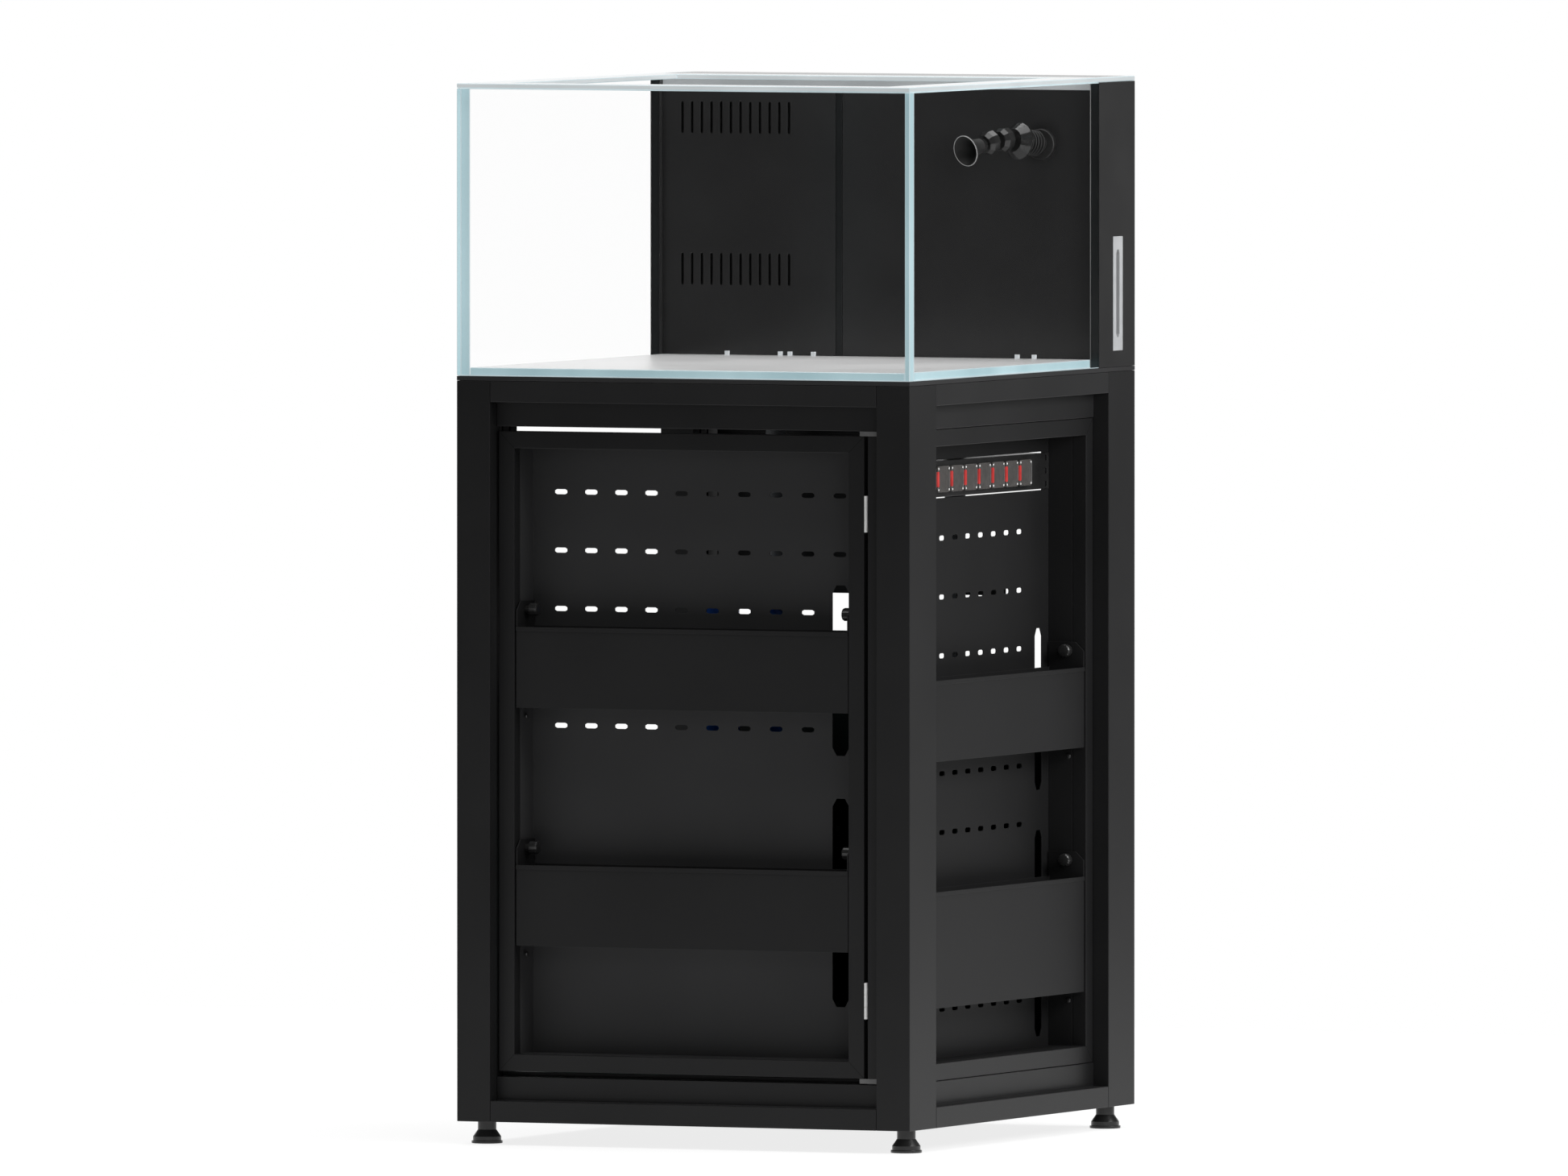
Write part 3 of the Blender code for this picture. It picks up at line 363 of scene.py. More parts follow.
def mitred_coat(name, node, sideways):
    """The frame's coat with a hairline on the diagonals; sideways is 0 or 1, the door's width axis."""
    low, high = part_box(node)
    middle = (low + high) / 2
    half = (high - low) / 2

    def diagonal(coat):
        place = coat.split(coat.place())
        to_side = half[sideways] - abs(place[sideways] - middle[sideways])
        to_end = half.z - abs(place[2] - middle.z)
        return abs(to_side - to_end).below(MITRE)

    return powder_coat(name, COAT_DARK, COAT_LIGHT, COAT_ROUGHNESS, COAT_PEEL, diagonal)


# Painted light: the front board is a paler copy of the side board's sheet coat, lifting the shade it sits in.
painted_light_board_coat = powder_coat("board_coat_painted_light", (0.0280, 0.0280, 0.0288), (0.0360, 0.0360, 0.0370),
                         roughness=0.60, texture=0.14)
board_coats = {"front": painted_light_board_coat, "side": sheet_coat}
for door, sideways in (("front", 0), ("side", 1)):
    node = f"{door}_door_frame"
    coat = mitred_coat(f"{door}_door_coat", node, sideways)
    coated(node, coat, f"{door}_door", "black_frame", FRAME_EDGE)
    coated(f"{door}_board", board_coats[door], f"{door}_door", "black_sheet", SHEET_EDGE)
    for level in ("upper", "lower"):
        coated(f"{door}_tray_{level}", sheet_coat, f"{door}_door", "black_sheet", SHEET_EDGE)


# ---- Small hardware on the doors.
# Each tray hangs on two ribbed thumb knobs through its ears, with a hemmed rim and a screw below each end.
# The knobs and screws are copies of one template, set out by a node tree that places, turns and joins them.
EAR_WALL = 0.0015
KNOB_RISE = 0.0205
KNOB_DEPTHS = {"front": 0.0270, "side": 0.0205}
KNOB_SIDES = 28
KNOB_RIB = 0.06
KNOB = [(0, 0.0048), (0.0050, 0.0048), (0.0054, 0.0074), (0.0062, 0.0080), (0.0146, 0.0080), (0.0162, 0.0068),
        (0.0168, 0.0040)]
SCREW_SIDES = 16
SCREW = [(0, 0.0034), (0.0010, 0.0034), (0.0020, 0.0028), (0.0026, 0.0014)]
SCREW_DROP = 0.0110
TRAY_HEIGHTS = {"front_upper": 0.0985, "front_lower": 0.0985, "side_upper": 0.0985, "side_lower": 0.1415}
HEM = 0.0052
HEM_PROUD = 0.0009
SPIN_SEED = 5
FREE_SPIN = 1.0
CLOUD_SCALE = 30.0
GRAIN_SCALE = 1200.0
GRAIN_DEPTH = 0.0001


def lathe(profile, sides, rib=0.0, hollow=False):
    """A shape turned about Z from (height, radius) pairs; rib shortens every second radius, for grip."""
    shape = bmesh.new()
    rings = []
    for height, radius in profile:
        spokes = [(radius * (1 - rib * (i % 2)), 2 * pi * i / sides) for i in range(sides)]
        ring = [(reach * cos(turn), reach * sin(turn), height) for reach, turn in spokes]
        rings.append([shape.verts.new(corner) for corner in ring])
    after = rings[1:] + rings[:1] if hollow else rings[1:]
    for low, high in zip(rings, after):
        for i in range(sides):
            j = (i + 1) % sides
            shape.faces.new((low[i], low[j], high[j], high[i]))
    if not hollow:
        shape.faces.new(rings[0][::-1])
        shape.faces.new(rings[-1])
    bmesh.ops.recalc_face_normals(shape, faces=shape.faces)
    return shape


def cuboid(low, high):
    """A plain block between two corners."""
    low, high = Vector(low), Vector(high)
    shape = bmesh.new()
    size = Matrix.Diagonal((*(high - low), 1.0))
    bmesh.ops.create_cube(shape, size=1.0, matrix=Matrix.Translation((low + high) / 2) @ size)
    return shape


def copying_tree():
    """Stands a template at each point, turned as the point says and spun by a fixed random amount."""
    tree = bpy.data.node_groups.new("copies_at_points", "GeometryNodeTree")
    sockets = {"Points": "Geometry", "Template": "Object", "Material": "Material", "Spin": "Float"}
    for label, kind in sockets.items():
        tree.interface.new_socket(label, in_out="INPUT", socket_type=f"NodeSocket{kind}")
    tree.interface.new_socket("Copies", in_out="OUTPUT", socket_type="NodeSocketGeometry")

    def node(kind, links, **settings):
        made = tree.nodes.new(kind)
        for name, value in settings.items():
            setattr(made, name, value)
        for name, source in links.items():
            if isinstance(source, bpy.types.NodeSocket):
                tree.links.new(source, made.inputs[name])
            else:
                made.inputs[name].default_value = source
        return made

    given = node("NodeGroupInput", {}).outputs
    model = node("GeometryNodeObjectInfo", {"Object": given["Template"]})
    turn = node("GeometryNodeInputNamedAttribute", {"Name": "turn"}, data_type="FLOAT_VECTOR")
    facing = node("FunctionNodeEulerToRotation", {"Euler": turn.outputs["Attribute"]})
    stood = node("GeometryNodeInstanceOnPoints", {
        "Points": given["Points"],
        "Instance": model.outputs["Geometry"],
        "Rotation": facing.outputs["Rotation"],
    })
    chance = node("FunctionNodeRandomValue", {3: given["Spin"], "Seed": SPIN_SEED}, data_type="FLOAT")
    spin = node("ShaderNodeCombineXYZ", {"Z": chance.outputs[1]})
    spun = node("GeometryNodeRotateInstances", {"Instances": stood.outputs[0], "Rotation": spin.outputs[0]})
    real = node("GeometryNodeRealizeInstances", {"Geometry": spun.outputs[0]})
    dressed = node("GeometryNodeSetMaterial", {"Geometry": real.outputs[0], "Material": given["Material"]})
    node("NodeGroupOutput", {"Copies": dressed.outputs[0]})
    return tree


copy_tree = copying_tree()


def copies(name, template, places, material, body, spin=0.0):
    """One mesh of many small pieces: the template stands at each place, which is a location and a turn."""
    points = bpy.data.meshes.new(name + "_points")
    points.from_pydata([location for location, _ in places], [], [])
    turns = points.attributes.new("turn", "FLOAT_VECTOR", "POINT")
    for entry, (_, turn) in zip(turns.data, places):
        entry.vector = turn
    model_mesh = bpy.data.meshes.new(name + "_template")
    template.to_mesh(model_mesh)
    template.free()
    model_mesh.shade_smooth()
    model_mesh.set_sharp_from_angle(angle=SHARP)
    model = bpy.data.objects.new(name + "_template", model_mesh)
    obj = bpy.data.objects.new(name, points)
    scene.collection.objects.link(model)
    scene.collection.objects.link(obj)
    modifier = obj.modifiers.new("copies", "NODES")
    modifier.node_group = copy_tree
    given = {"Template": model, "Material": material, "Spin": spin}
    for item in copy_tree.interface.items_tree:
        if item.name in given:
            modifier[item.identifier] = given[item.name]
    depsgraph = bpy.context.evaluated_depsgraph_get()
    obj.data = bpy.data.meshes.new_from_object(obj.evaluated_get(depsgraph), depsgraph=depsgraph)
    obj.modifiers.clear()
    bpy.data.objects.remove(model)
    bpy.data.meshes.remove(model_mesh)
    bpy.data.meshes.remove(points)
    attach(obj, body)


def moulded(name, shade, roughness, texture):
    """Injection-moulded black plastic with a faint grain."""
    plastic = Finish(bpy.data.materials.new(name))
    cloud = plastic.noise(CLOUD_SCALE)
    fine = plastic.noise(GRAIN_SCALE)
    light = tuple(1.5 * c for c in shade)
    plastic.set(Base_Color=plastic.tint(cloud, shade, light))
    plastic.set(Roughness=roughness + 0.12 * (fine - 0.5) + 0.06 * (cloud - 0.5))
    plastic.set(Normal=plastic.bump(fine, texture, GRAIN_DEPTH))
    return plastic.owner


satin_plastic = moulded("satin_black_plastic", (0.012, 0.012, 0.012), 0.30, 0.12)
TURNS = {
    ("front", 1): (0, radians(90), 0), ("front", -1): (0, radians(-90), 0),
    ("side", 1): (radians(-90), 0, 0), ("side", -1): (radians(90), 0, 0),
}
for door in ("front", "side"):
    sideways = 0 if door == "front" else 1
    knobs = []
    screws = []
    for level in ("upper", "lower"):
        low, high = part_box(f"{door}_tray_{level}")
        rim = low.z + TRAY_HEIGHTS[f"{door}_{level}"]
        for end, inward in ((low, 1), (high, -1)):
            depth = KNOB_DEPTHS[door]
            spot = Vector((0, low.y + depth, 0)) if door == "front" else Vector((high.x - depth, 0, 0))
            spot[sideways] = end[sideways] + inward * EAR_WALL
            turn = TURNS[door, inward]
            knobs.append((spot + Vector((0, 0, rim + KNOB_RISE)), turn))
            screws.append((spot + Vector((0, 0, low.z - SCREW_DROP)), turn))
        hem_low = low.copy()
        hem_high = high.copy()
        hem_low.z = rim - HEM
        hem_high.z = rim
        if door == "front":
            hem_low.y -= HEM_PROUD
            hem_high.y = low.y
        else:
            hem_low.x = high.x
            hem_high.x += HEM_PROUD
        hem = cuboid(hem_low, hem_high)
        round_edges(hem, HEM_PROUD / 3)
        piece(f"{door}_tray_{level}_hem", hem, [sheet_coat], f"{door}_door", "black_sheet")
    copies(f"{door}_thumb_knobs", lathe(KNOB, KNOB_SIDES, KNOB_RIB), knobs, satin_plastic,
           f"{door}_door", FREE_SPIN)
    copies(f"{door}_button_screws", lathe(SCREW, SCREW_SIDES), screws, satin_plastic,
           f"{door}_door", FREE_SPIN)


# ---- The hinges.
# Small steel butt hinges; the barrel, bright with a painted sheen, shows between the door and its strip, with
# fine turned rings.
# A grey spacer closes the strip's top and bottom end beside the front door.
RING_PITCH = 0.0022
RING_SHARE = 0.22
SPACER_LENGTH = 0.0300
SPACER_HEIGHT = 0.0058
SPACER_PROUD = 0.0008

steel = Finish(bpy.data.materials.new("brushed_steel_painted_sheen"))
height = steel.split(steel.place())[2] / RING_PITCH
groove = height.math("FRACT", height).below(RING_SHARE)
brushing = steel.noise(60.0, 4.0, (1.0, 1.0, 30.0))
# Painted sheen: the near-white, barely metallic colour is pale steel that also stands in for the barrel's
# reflection.
steel.set(Base_Color=steel.tint(brushing, (0.80, 0.80, 0.79), (0.93, 0.93, 0.92)), Metallic=0.15)
steel.set(Roughness=0.28 + 0.2 * brushing + 0.2 * groove, Normal=steel.bump(brushing - groove, 0.5, 0.0002))
for door in ("front", "side"):
    for end in ("upper", "lower"):
        frame["nodes"][f"{door}_hinge_{end}"].data.materials[0] = steel.owner
        frame["nodes"][f"{door}_door_hinge_{end}"].data.materials[0] = steel.owner

nylon = Finish(bpy.data.materials.new("grey_nylon"))
cloud = nylon.noise(60.0)
nylon.set(Base_Color=nylon.tint(cloud, (0.10, 0.10, 0.10), (0.14, 0.14, 0.14)), Roughness=0.5 + 0.1 * cloud)
strip_low, strip_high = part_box("front_hinge_strip")
door_low, door_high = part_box("front_door_frame")
for name, bottom in (("upper", door_high.z), ("lower", door_low.z - SPACER_HEIGHT)):
    near = Vector((strip_high.x - SPACER_LENGTH, strip_low.y - SPACER_PROUD, bottom))
    far = Vector((strip_high.x, strip_low.y, bottom + SPACER_HEIGHT))
    spacer = cuboid(near, far)
    round_edges(spacer, SPACER_PROUD / 4)
    piece(f"hinge_strip_spacer_{name}", spacer, [nylon.owner], "stand", "grey_pvc")


# ---- The socket bar on the side door.
# A moulded bar stands through the board; each of its eight sockets has a clear cover and a red lamp.
# The cover, its corner screws, the lamp and the socket behind are each one template, copied along the bar.
SOCKETS = 8
SOCKET_PITCH = 0.0424
LAST_SOCKET_END = 0.1765
COVER = (0.0380, 0.0320)
COVER_PROUD = 0.0060
COVER_CORNER = 0.0035
LAMP = (0.0062, 0.0190)
LAMP_INSET = 0.0020
COVER_HAZE = 0.45
SOCKET_FACE = (0.0300, 0.0250)
SOCKET_PROUD = COVER_PROUD / 3
LAMP_PROUD = COVER_PROUD + 0.0003
COVER_BACK = COVER_PROUD * 0.75
SIDE_BEAD = 0.0012
SIDE_BEAD_PROUD = COVER_PROUD + 0.0002
SIDE_BEAD_BACK = COVER_PROUD * 0.2
CORNER_INSET = 0.0030
COVER_SCREW_SIDES = 10
COVER_SCREW = [(0, 0.0014), (0.0005, 0.0013), (0.0008, 0.0006)]
BAR_EDGE = 0.0005

coated("power_bar", satin_plastic, "side_door", "black_plastic", BAR_EDGE)
bar_low, bar_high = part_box("power_bar")
bar_face = bar_high.x
bar_middle = (bar_low.z + bar_high.z) / 2
first_socket = LAST_SOCKET_END - SOCKET_PITCH * (SOCKETS - 0.5)
sockets = [Vector((bar_face, first_socket + i * SOCKET_PITCH, bar_middle)) for i in range(SOCKETS)]
still = (0, 0, 0)


def plaque(size, proud, corner, base=0.0):
    """A thin block lying on the YZ plane, with rounded upright edges."""
    wide, tall = size
    shape = cuboid((base, -wide / 2, -tall / 2), (proud, wide / 2, tall / 2))
    ends = [e for e in shape.edges if abs((e.verts[0].co - e.verts[1].co).x) > SAME_PLACE]
    bmesh.ops.bevel(shape, geom=ends, offset=corner, segments=3, profile=0.5, affect="EDGES")
    return shape


cover = Finish(bpy.data.materials.new("clear_cover"))
haze = cover.noise(150.0)
cover.set(Base_Color=cover.tint(haze, (0.11, 0.105, 0.10), (0.16, 0.15, 0.145)), Roughness=0.12 + 0.1 * haze)
pass_through = cover.add("ShaderNodeBsdfTransparent", {"Color": (0.95, 0.95, 0.95, 1.0)})
amount = cover.grazing(COVER_HAZE)
solid = Wire(cover.tree, cover.shader.outputs[0])
cover.surface(cover.add("ShaderNodeMixShader", {0: amount, 1: pass_through, 2: solid}))

lamp = Finish(bpy.data.materials.new("red_lamp"))
glow = lamp.noise(120.0, 1.0)
lamp.set(Base_Color=lamp.tint(glow, (0.30, 0.01, 0.01), (0.40, 0.02, 0.02)), Roughness=0.3)
lamp.set(Emission_Color=lamp.tint(glow, (0.50, 0.060, 0.055), (0.75, 0.11, 0.10)), Emission_Strength=0.26)

# Painted highlight: the pale beads on the covers' sides draw light caught in the clear edges as grey plastic.
painted_highlight_bead = Finish(bpy.data.materials.new("cover_edge_painted_highlight"))
highlight_drift = painted_highlight_bead.noise(200.0)
painted_highlight_bead.set(Base_Color=painted_highlight_bead.tint(highlight_drift, (0.13, 0.13, 0.13), (0.20, 0.20, 0.20)))
painted_highlight_bead.set(Roughness=0.3 + 0.1 * highlight_drift)

well = plaque(SOCKET_FACE, SOCKET_PROUD, COVER_CORNER)
copies("socket_bodies", well, [(s, still) for s in sockets], satin_plastic, "side_door")
strip = plaque(LAMP, LAMP_PROUD, LAMP[0] / 3)
offset = Vector((0, LAMP_INSET - COVER[0] / 2, 0))
lamps = [(s + offset, still) for s in sockets]
copies("socket_lamps", strip, lamps, lamp.owner, "side_door")
flap = plaque(COVER, COVER_PROUD, COVER_CORNER, COVER_BACK)
copies("socket_covers", flap, [(s, still) for s in sockets], cover.owner, "side_door")
edges = []
for socket in sockets:
    for side in (-1, 1):
        edges.append((socket + Vector((0, side * (COVER[0] - SIDE_BEAD) / 2, 0)), still))
bead_size = (SIDE_BEAD, COVER[1] - 2 * COVER_CORNER)
bead = plaque(bead_size, SIDE_BEAD_PROUD, SIDE_BEAD / 3, SIDE_BEAD_BACK)
copies("cover_side_beads", bead, edges, painted_highlight_bead.owner, "side_door")
corner_places = []
for socket in sockets:
    for side in (-1, 1):
        for end in (-1, 1):
            aside = side * (COVER[0] / 2 - CORNER_INSET)
            up = end * (COVER[1] / 2 - CORNER_INSET)
            corner_places.append((socket + Vector((COVER_PROUD, aside, up)), (0, radians(90), 0)))
button = lathe(COVER_SCREW, COVER_SCREW_SIDES)
copies("cover_screws", button, corner_places, steel.owner, "side_door", FREE_SPIN)


# ---- Levelling feet.
# Moulded feet on threaded stems: a wide disc, a cup above it and a short cone up to the stem.
# They screw into the posts, so each one turns on its own body.
FOOT_SIDES = 48
FOOT = [(0, 0.0186), (0.0004, 0.0190), (0.0028, 0.0190), (0.0032, 0.0186), (0.0034, 0.0172), (0.0083, 0.0172),
        (0.0168, 0.0113), (0.0277, 0.0113)]
for depth in ("front", "rear"):
    for side in ("left", "right"):
        node = f"foot_{depth}_{side}"
        low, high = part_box(node)
        foot = lathe(FOOT, FOOT_SIDES)
        bmesh.ops.translate(foot, verts=foot.verts, vec=((low.x + high.x) / 2, (low.y + high.y) / 2, low.z))
        piece("moulded_" + node, foot, [satin_plastic], node, "black_plastic", node, smooth=True)


# ---- The return nozzle.
# A wall fitting with a ribbed neck and a union nut, then a faceted link and a flare on two ball joints.
# The nut, the link and the balls are glossy; the disc, the ribs and the flare are matt, with a thin lip pale
# from a painted reflection.
NOZZLE_SIDES = 48
BEAD_SIDES = 10
BALL = 0.0100
BALL_NECK = 0.0062
BASE_REACH = 0.0670
WALL_PLACE = (0.2200, 1.2100)
FLARE_TURN = radians(20)
FLARE_DIP = radians(13)
FLARE_LENGTH = 0.0450
LIP_RADIUS = 0.0195
LIP_WIDTH = 0.0011
LIP_BACK = FLARE_LENGTH - 0.0004
LIP_FRONT = FLARE_LENGTH + 0.0002
HORN_START = 0.0080
BALL_ARC = range(140, 15, -12)
WALL_DISC = [(0, 0.0190), (0.0070, 0.0190), (0.0080, 0.0180)]
STEM = [(0.0045, 0.0125), (0.0390, 0.0125), (0.0392, 0.0222), (0.0398, 0.0228), (0.0426, 0.0228),
        (0.0434, 0.0222), (0.0530, 0.0142), (0.0532, 0.0062)]
BEAD = [(-0.0075, 0.0116), (-0.0030, 0.0150), (0.0055, 0.0150), (0.0110, 0.0112)]
FLARE = [(0.0185, 0.0090), (0.0270, 0.0100), (0.0350, 0.0128), (0.0410, 0.0165), (0.0450, 0.0195),
         (0.0450, 0.0184), (0.0410, 0.0153), (0.0350, 0.0112), (0.0270, 0.0070), (0.0185, 0.0040)]
RIB_COUNT = 6
FIRST_RIB = 0.0110
RIB_PITCH = 0.0048
RIB = [(0, 0.0120), (0, 0.0152), (0.0008, 0.0160), (0.0020, 0.0160), (0.0028, 0.0152), (0.0028, 0.0120)]

glossy_plastic = moulded("glossy_black_plastic", (0.011, 0.011, 0.011), 0.14, 0.04)
matt_plastic = moulded("matt_black_plastic", (0.003, 0.003, 0.003), 0.60, 0.12)
# Painted reflection: the lip's pale grey draws the rim as if it reflected the light.
painted_reflection_lip = Finish(bpy.data.materials.new("lip_painted_reflection"))
lip_reflection_drift = painted_reflection_lip.noise(300.0)
painted_reflection_lip.set(Base_Color=painted_reflection_lip.tint(lip_reflection_drift, (0.40, 0.40, 0.40), (0.60, 0.60, 0.60)),
                Roughness=0.25 + 0.1 * lip_reflection_drift)
joints = {joint["name"]: joint for joint in frame["joints"]}
pan, tilt = [Vector(joints[name]["pos_m"]) for name in ("nozzle_pan", "nozzle_tilt")]


def aimed(shape, start, way):
    """Turns a lathe shape from Z to the given way and moves it to its start."""
    turn = way.to_track_quat("Z", "Y").to_matrix().to_4x4()
    bmesh.ops.transform(shape, matrix=Matrix.Translation(start) @ turn, verts=shape.verts)
    return shape


def joined(*shapes):
    """Gathers several closed shapes into one bmesh."""
    whole = shapes[0]
    for shape in shapes[1:]:
        spare = bpy.data.meshes.new("spare")
        shape.to_mesh(spare)
        shape.free()
        whole.from_mesh(spare)
        bpy.data.meshes.remove(spare)
    return whole


def ball(centre):
    """A ball on its neck, as a lathe profile."""
    arc = [radians(a) for a in BALL_ARC]
    return [(centre - BALL, BALL_NECK)] + [(centre + BALL * cos(t), BALL * sin(t)) for t in arc]


flare_way = Vector((-sin(FLARE_TURN) * cos(FLARE_DIP), -cos(FLARE_TURN) * cos(FLARE_DIP), -sin(FLARE_DIP)))
link_way = (tilt - pan).normalized()
wall = Vector((WALL_PLACE[0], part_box("nozzle_base")[1].y, WALL_PLACE[1]))
stem_way = (pan - wall).normalized()
disc = aimed(lathe(WALL_DISC, NOZZLE_SIDES), wall, Vector((0, -1, 0)))
stem = aimed(lathe(STEM, NOZZLE_SIDES), wall, stem_way)
stem_ball = aimed(lathe(ball(BASE_REACH), NOZZLE_SIDES), wall, stem_way)
piece("wall_fitting", joined(stem, stem_ball), [glossy_plastic], "stand", "black_plastic",
      "nozzle_base", smooth=True)
piece("wall_disc", disc, [matt_plastic], "stand", "black_plastic", smooth=True)
rib_turn = stem_way.to_track_quat("Z", "Y").to_euler()
ribs = [(wall + stem_way * (FIRST_RIB + i * RIB_PITCH), rib_turn) for i in range(RIB_COUNT)]
copies("neck_ribs", lathe(RIB, NOZZLE_SIDES, hollow=True), ribs, matt_plastic, "stand")

link = aimed(lathe(BEAD, BEAD_SIDES), pan, link_way)
link_ball = aimed(lathe(ball((tilt - pan).length), NOZZLE_SIDES), pan, link_way)
piece("faceted_link", joined(link, link_ball), [glossy_plastic], "nozzle_link", "black_plastic",
      "nozzle_link", smooth=True)
cup = aimed(lathe(BEAD, BEAD_SIDES), tilt, flare_way)
horn = aimed(lathe([(HORN_START, BALL_NECK), FLARE[0]], NOZZLE_SIDES), tilt, flare_way)
mouth = aimed(lathe(FLARE, NOZZLE_SIDES, hollow=True), tilt, flare_way)
piece("flare_cup", joined(cup, horn), [glossy_plastic], "nozzle_flare", "black_plastic",
      "nozzle_flare", smooth=True)
piece("flare_mouth", mouth, [matt_plastic], "nozzle_flare", "black_plastic", smooth=True)
lip = [(LIP_BACK, LIP_RADIUS), (LIP_FRONT, LIP_RADIUS - LIP_WIDTH / 3), (LIP_FRONT, LIP_RADIUS - LIP_WIDTH),
       (LIP_BACK, LIP_RADIUS - LIP_WIDTH)]
lip_ring = aimed(lathe(lip, NOZZLE_SIDES, hollow=True), tilt, flare_way)
piece("flare_lip", lip_ring, [painted_reflection_lip.owner], "nozzle_flare", "black_plastic", smooth=True)


# ---- The glass.
# Twelve millimetre low-iron panes, bonded; faces are clear, the ground and polished edges pale blue with a
# painted glow.
# The ten millimetre floor is laid with a white film; small clear clips stand on it along the screen.
ARRIS = 0.0009
CLEAR_FACE = 0.99
GLASS_GLOSS = 0.004
DEPTH_END = cad_box[1][1]
# Painted glow: the glass edges, corners and collar, the seal and the clips give off light though they are no
# lamps.
EDGE_PAINTED_GLOW = 1.2
COLLAR_PAINTED_GLOW = 1.8
SEAL_PAINTED_GLOW = 0.3
FACE, EDGE, CORNER, SEALED = range(4)

clear = Finish(bpy.data.materials.new("clear_glass_face"), "ShaderNodeBsdfGlossy")
clear.set(Color=(1, 1, 1, 1), Roughness=0.004 + 0.02 * clear.noise(14.0, 4.0))
through = clear.add("ShaderNodeBsdfTransparent", {"Color": (1.0, 1.0, 1.0, 1)})
shine = Wire(clear.tree, clear.shader.outputs[0])
clear.surface(clear.add("ShaderNodeMixShader", {0: clear.grazing(GLASS_GLOSS), 1: through, 2: shine}))


def polished_black(name, dark, light, roughness):
    """Black sheet or sealant with a soft polish that drifts a little."""
    sheet = Finish(bpy.data.materials.new(name))
    drift = sheet.noise(11.0, 3.0)
    sheet.set(Base_Color=sheet.tint(drift, dark, light), Roughness=roughness + 0.10 * drift)
    sheet.set(Normal=sheet.bump(sheet.noise(5.0, 1.0), 0.03, 0.002))
    return sheet.owner


def painted_glow_edge(name, dark, light, glow):
    """The edge of a pane: pale, with a painted glow in soft streaks that stands in for light gathered inside
    the glass.
    """
    edge = Finish(bpy.data.materials.new(name))
    streak = edge.noise(9.0, 3.0, (1.0, 1.0, 0.3))
    edge.set(Base_Color=edge.tint(streak, dark, light), Roughness=0.10 + 0.10 * edge.noise(300.0))
    # The emission is a painted glow, not a lamp.
    edge.set(Emission_Color=edge.tint(streak, dark, light), Emission_Strength=glow)
    edge.set(Normal=edge.bump(edge.noise(90.0), 0.05, 0.0002))
    return edge.owner


painted_glow_blue_edge = painted_glow_edge("blue_edge_painted_glow", (0.18, 0.255, 0.275), (0.24, 0.32, 0.34), EDGE_PAINTED_GLOW)
painted_glow_arris = painted_glow_edge("arris_painted_glow", (0.23, 0.28, 0.295), (0.28, 0.33, 0.345), EDGE_PAINTED_GLOW)
painted_glow_white_edge = painted_glow_edge("white_edge_painted_glow", (0.20, 0.215, 0.22), (0.235, 0.25, 0.255), COLLAR_PAINTED_GLOW)
painted_glow_seal = painted_glow_edge("silicone_painted_glow", (0.34, 0.36, 0.37), (0.44, 0.46, 0.47), SEAL_PAINTED_GLOW)
sealant = polished_black("dark_sealant", (0.0030, 0.0042, 0.0046), (0.0042, 0.0056, 0.0060), 0.30)
film = Finish(bpy.data.materials.new("white_floor_film"))
ripple = film.noise(6.0, 3.0)
film.set(Base_Color=film.tint(ripple, (0.62, 0.62, 0.62), (0.70, 0.70, 0.70)), Roughness=0.25 + 0.1 * ripple)
film.set(Normal=film.bump(film.noise(40.0), 0.05, 0.001))


def pane(node, axis, face_material, edge_material, sealed_from=DEPTH_END):
    """A pane: clear faces across one axis, coloured edges and pale corners with a painted glow, black sealant
    behind a given Y.
    """
    shape = clean_copy(node)
    round_edges(shape, ARRIS, 1)
    shape.normal_update()
    for face in shape.faces:
        if face.calc_center_median().y > sealed_from:
            face.material_index = SEALED
        elif abs(face.normal[axis]) > CLEAR_FACE:
            face.material_index = FACE
        else:
            straight = max(abs(part) for part in face.normal) > CLEAR_FACE
            face.material_index = EDGE if straight else CORNER
    materials = [face_material, edge_material, painted_glow_arris, sealant]
    piece("glass_" + node, shape, materials, "stand", "clear_glass", node)


sealed_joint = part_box("left_pane")[1].y - 2 * ARRIS
pane("front_pane", 1, clear.owner, painted_glow_blue_edge)
pane("left_pane", 0, clear.owner, painted_glow_blue_edge, sealed_joint)
pane("right_pane", 0, clear.owner, painted_glow_blue_edge, sealed_joint)
pane("floor_pane", 2, film.owner, painted_glow_blue_edge)
pane("brace", 2, clear.owner, painted_glow_white_edge)

CLIP_PLACES = (-0.2006, -0.1292, -0.1163, -0.0849, 0.1876, 0.2102)
CLIP = (0.0050, 0.0040, 0.0050)
# The clips are pale with a painted glow, as if lit from within.
painted_glow_clip = painted_glow_edge("clear_clip_painted_glow", (0.45, 0.47, 0.48), (0.65, 0.68, 0.70), SEAL_PAINTED_GLOW)
screen_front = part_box("return_panel")[0].y
floor_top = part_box("floor_pane")[1].z
clip = cuboid((-CLIP[0] / 2, -CLIP[1], 0), (CLIP[0] / 2, 0, CLIP[2]))
clips = [(Vector((x, screen_front, floor_top)), still) for x in CLIP_PLACES]
copies("screen_clips", clip, clips, painted_glow_clip, "stand")


# ---- The black filter box.
# Polished black sheet, bonded at the corners, with sawn overflow slots and a lift-off lid.
# The joint between the screen and the return panel is a darker line of sealant.
ACRYLIC_EDGE = 0.0005
PLATE_EDGE = 0.0006

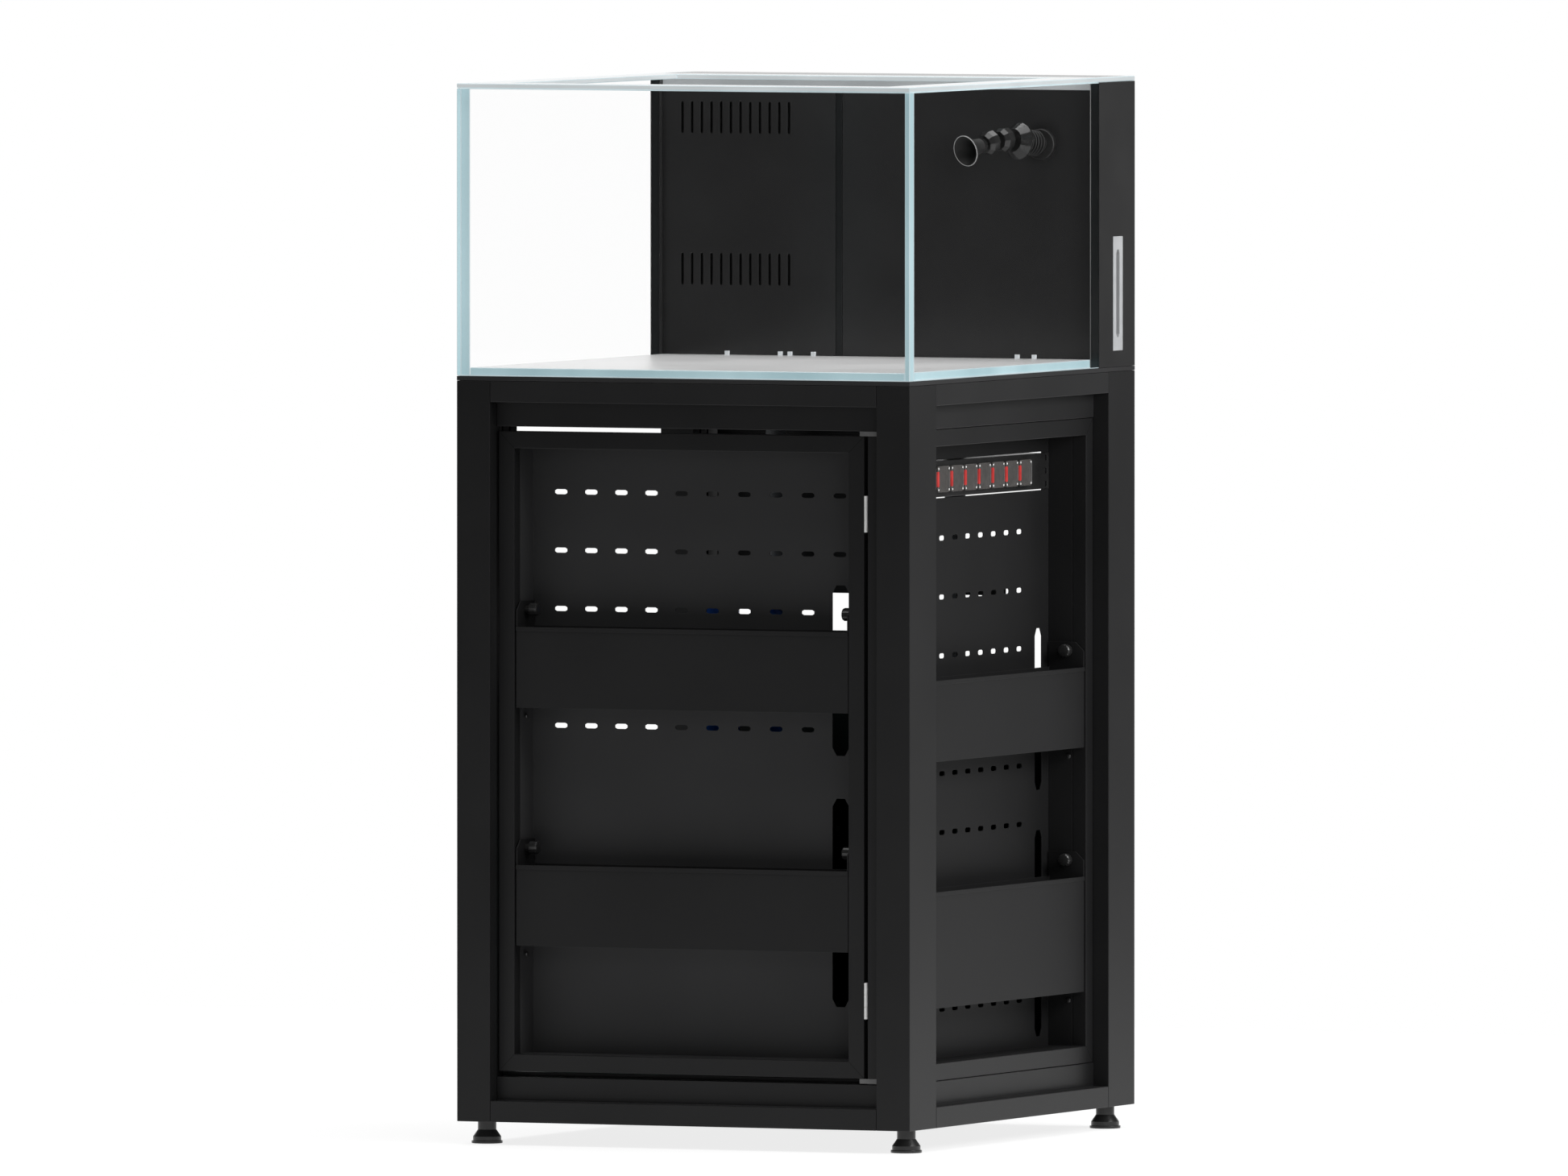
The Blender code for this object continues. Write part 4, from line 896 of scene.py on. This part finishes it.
acrylic = polished_black("polished_black_sheet", (0.0200, 0.0200, 0.0202), (0.0235, 0.0235, 0.0238), 0.14)
for node in ("box_side_left", "box_side_right", "box_back", "weir_screen", "return_panel"):
    coated(node, acrylic, "stand", "black_acrylic", ACRYLIC_EDGE)
coated("screen_seam", sealant, "stand", "black_acrylic", ACRYLIC_EDGE)
coated("box_lid", acrylic, "lid", "black_acrylic", ACRYLIC_EDGE)

panel_low, panel_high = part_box("return_panel")
seal_low = Vector((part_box("weir_screen")[0].x, panel_low.y, panel_high.z))
seal = cuboid(seal_low, (panel_high.x, panel_high.y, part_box("brace")[0].z))
# The pale silicone seal along the top of the return panel has a painted glow.
piece("screen_top_seal", seal, [painted_glow_seal], "stand", "clear_glass")

plate = Finish(bpy.data.materials.new("satin_grey_plate"))
cloud = plate.noise(40.0, 3.0)
plate.set(Base_Color=plate.tint(cloud, (0.40, 0.41, 0.42), (0.46, 0.47, 0.48)), Roughness=0.30 + 0.1 * cloud)
plate.set(Normal=plate.bump(plate.noise(500.0), 0.05, 0.0001))
coated("level_plate", plate.owner, "stand", "grey_plate", PLATE_EDGE)


# ---- What stands inside.
# A green-tinted glass sump with two blue filter columns, a pump and two grey pipes.
# The pump is moulded with upright cooling ribs.
SMOOTH_EDGE = 0.0006
PUMP_EDGE = 0.003
PUMP_RIBS = 7
PUMP_RIB = (0.0030, 0.0016, 0.0700)

green = Finish(bpy.data.materials.new("green_float_glass"), "ShaderNodeBsdfGlossy")
green.set(Color=(0.75, 0.9, 0.85, 1), Roughness=0.02 + 0.05 * green.noise(12.0, 3.0))
depth_tint = green.add("ShaderNodeBsdfTransparent", {"Color": (0.30, 0.50, 0.44, 1)})
shine = Wire(green.tree, green.shader.outputs[0])
green.surface(green.add("ShaderNodeMixShader", {0: green.grazing(GLASS_GLOSS), 1: depth_tint, 2: shine}))
frame["nodes"]["sump"].data.materials[0] = green.owner

blue = Finish(bpy.data.materials.new("blue_gloss_plastic"))
swirl = blue.noise(20.0, 3.0)
blue.set(Base_Color=blue.tint(swirl, (0.012, 0.075, 0.38), (0.02, 0.13, 0.55)), Roughness=0.15 + 0.1 * swirl)
pipe = Finish(bpy.data.materials.new("grey_pipe_plastic"))
scuff = pipe.noise(50.0, 4.0, (1.0, 1.0, 0.2))
pipe.set(Base_Color=pipe.tint(scuff, (0.10, 0.105, 0.11), (0.15, 0.155, 0.16)), Roughness=0.35 + 0.15 * scuff)


def smoothed(node, material, slot):
    """A round CAD node's shape with soft edges and smooth sides."""
    shape = clean_copy(node)
    round_edges(shape, SMOOTH_EDGE)
    piece("smooth_" + node, shape, [material], "stand", slot, node, smooth=True)


smoothed("filter_column_left", blue.owner, "blue_plastic")
smoothed("filter_column_right", blue.owner, "blue_plastic")
smoothed("return_pipe", pipe.owner, "grey_pvc")
smoothed("drain_pipe", pipe.owner, "grey_pvc")
coated("return_pump", satin_plastic, "stand", "black_plastic", PUMP_EDGE)
pump_low, pump_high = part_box("return_pump")
step = (pump_high.x - pump_low.x) / (PUMP_RIBS + 1)
rib_middle = (pump_low.z + pump_high.z) / 2
rib_low = (-PUMP_RIB[0] / 2, -PUMP_RIB[1], -PUMP_RIB[2] / 2)
cooling_rib = cuboid(rib_low, (PUMP_RIB[0] / 2, 0, PUMP_RIB[2] / 2))
rib_lines = [pump_low.x + (i + 1) * step for i in range(PUMP_RIBS)]
rib_places = [(Vector((x, pump_low.y, rib_middle)), still) for x in rib_lines]
copies("pump_ribs", cooling_rib, rib_places, satin_plastic, "stand")
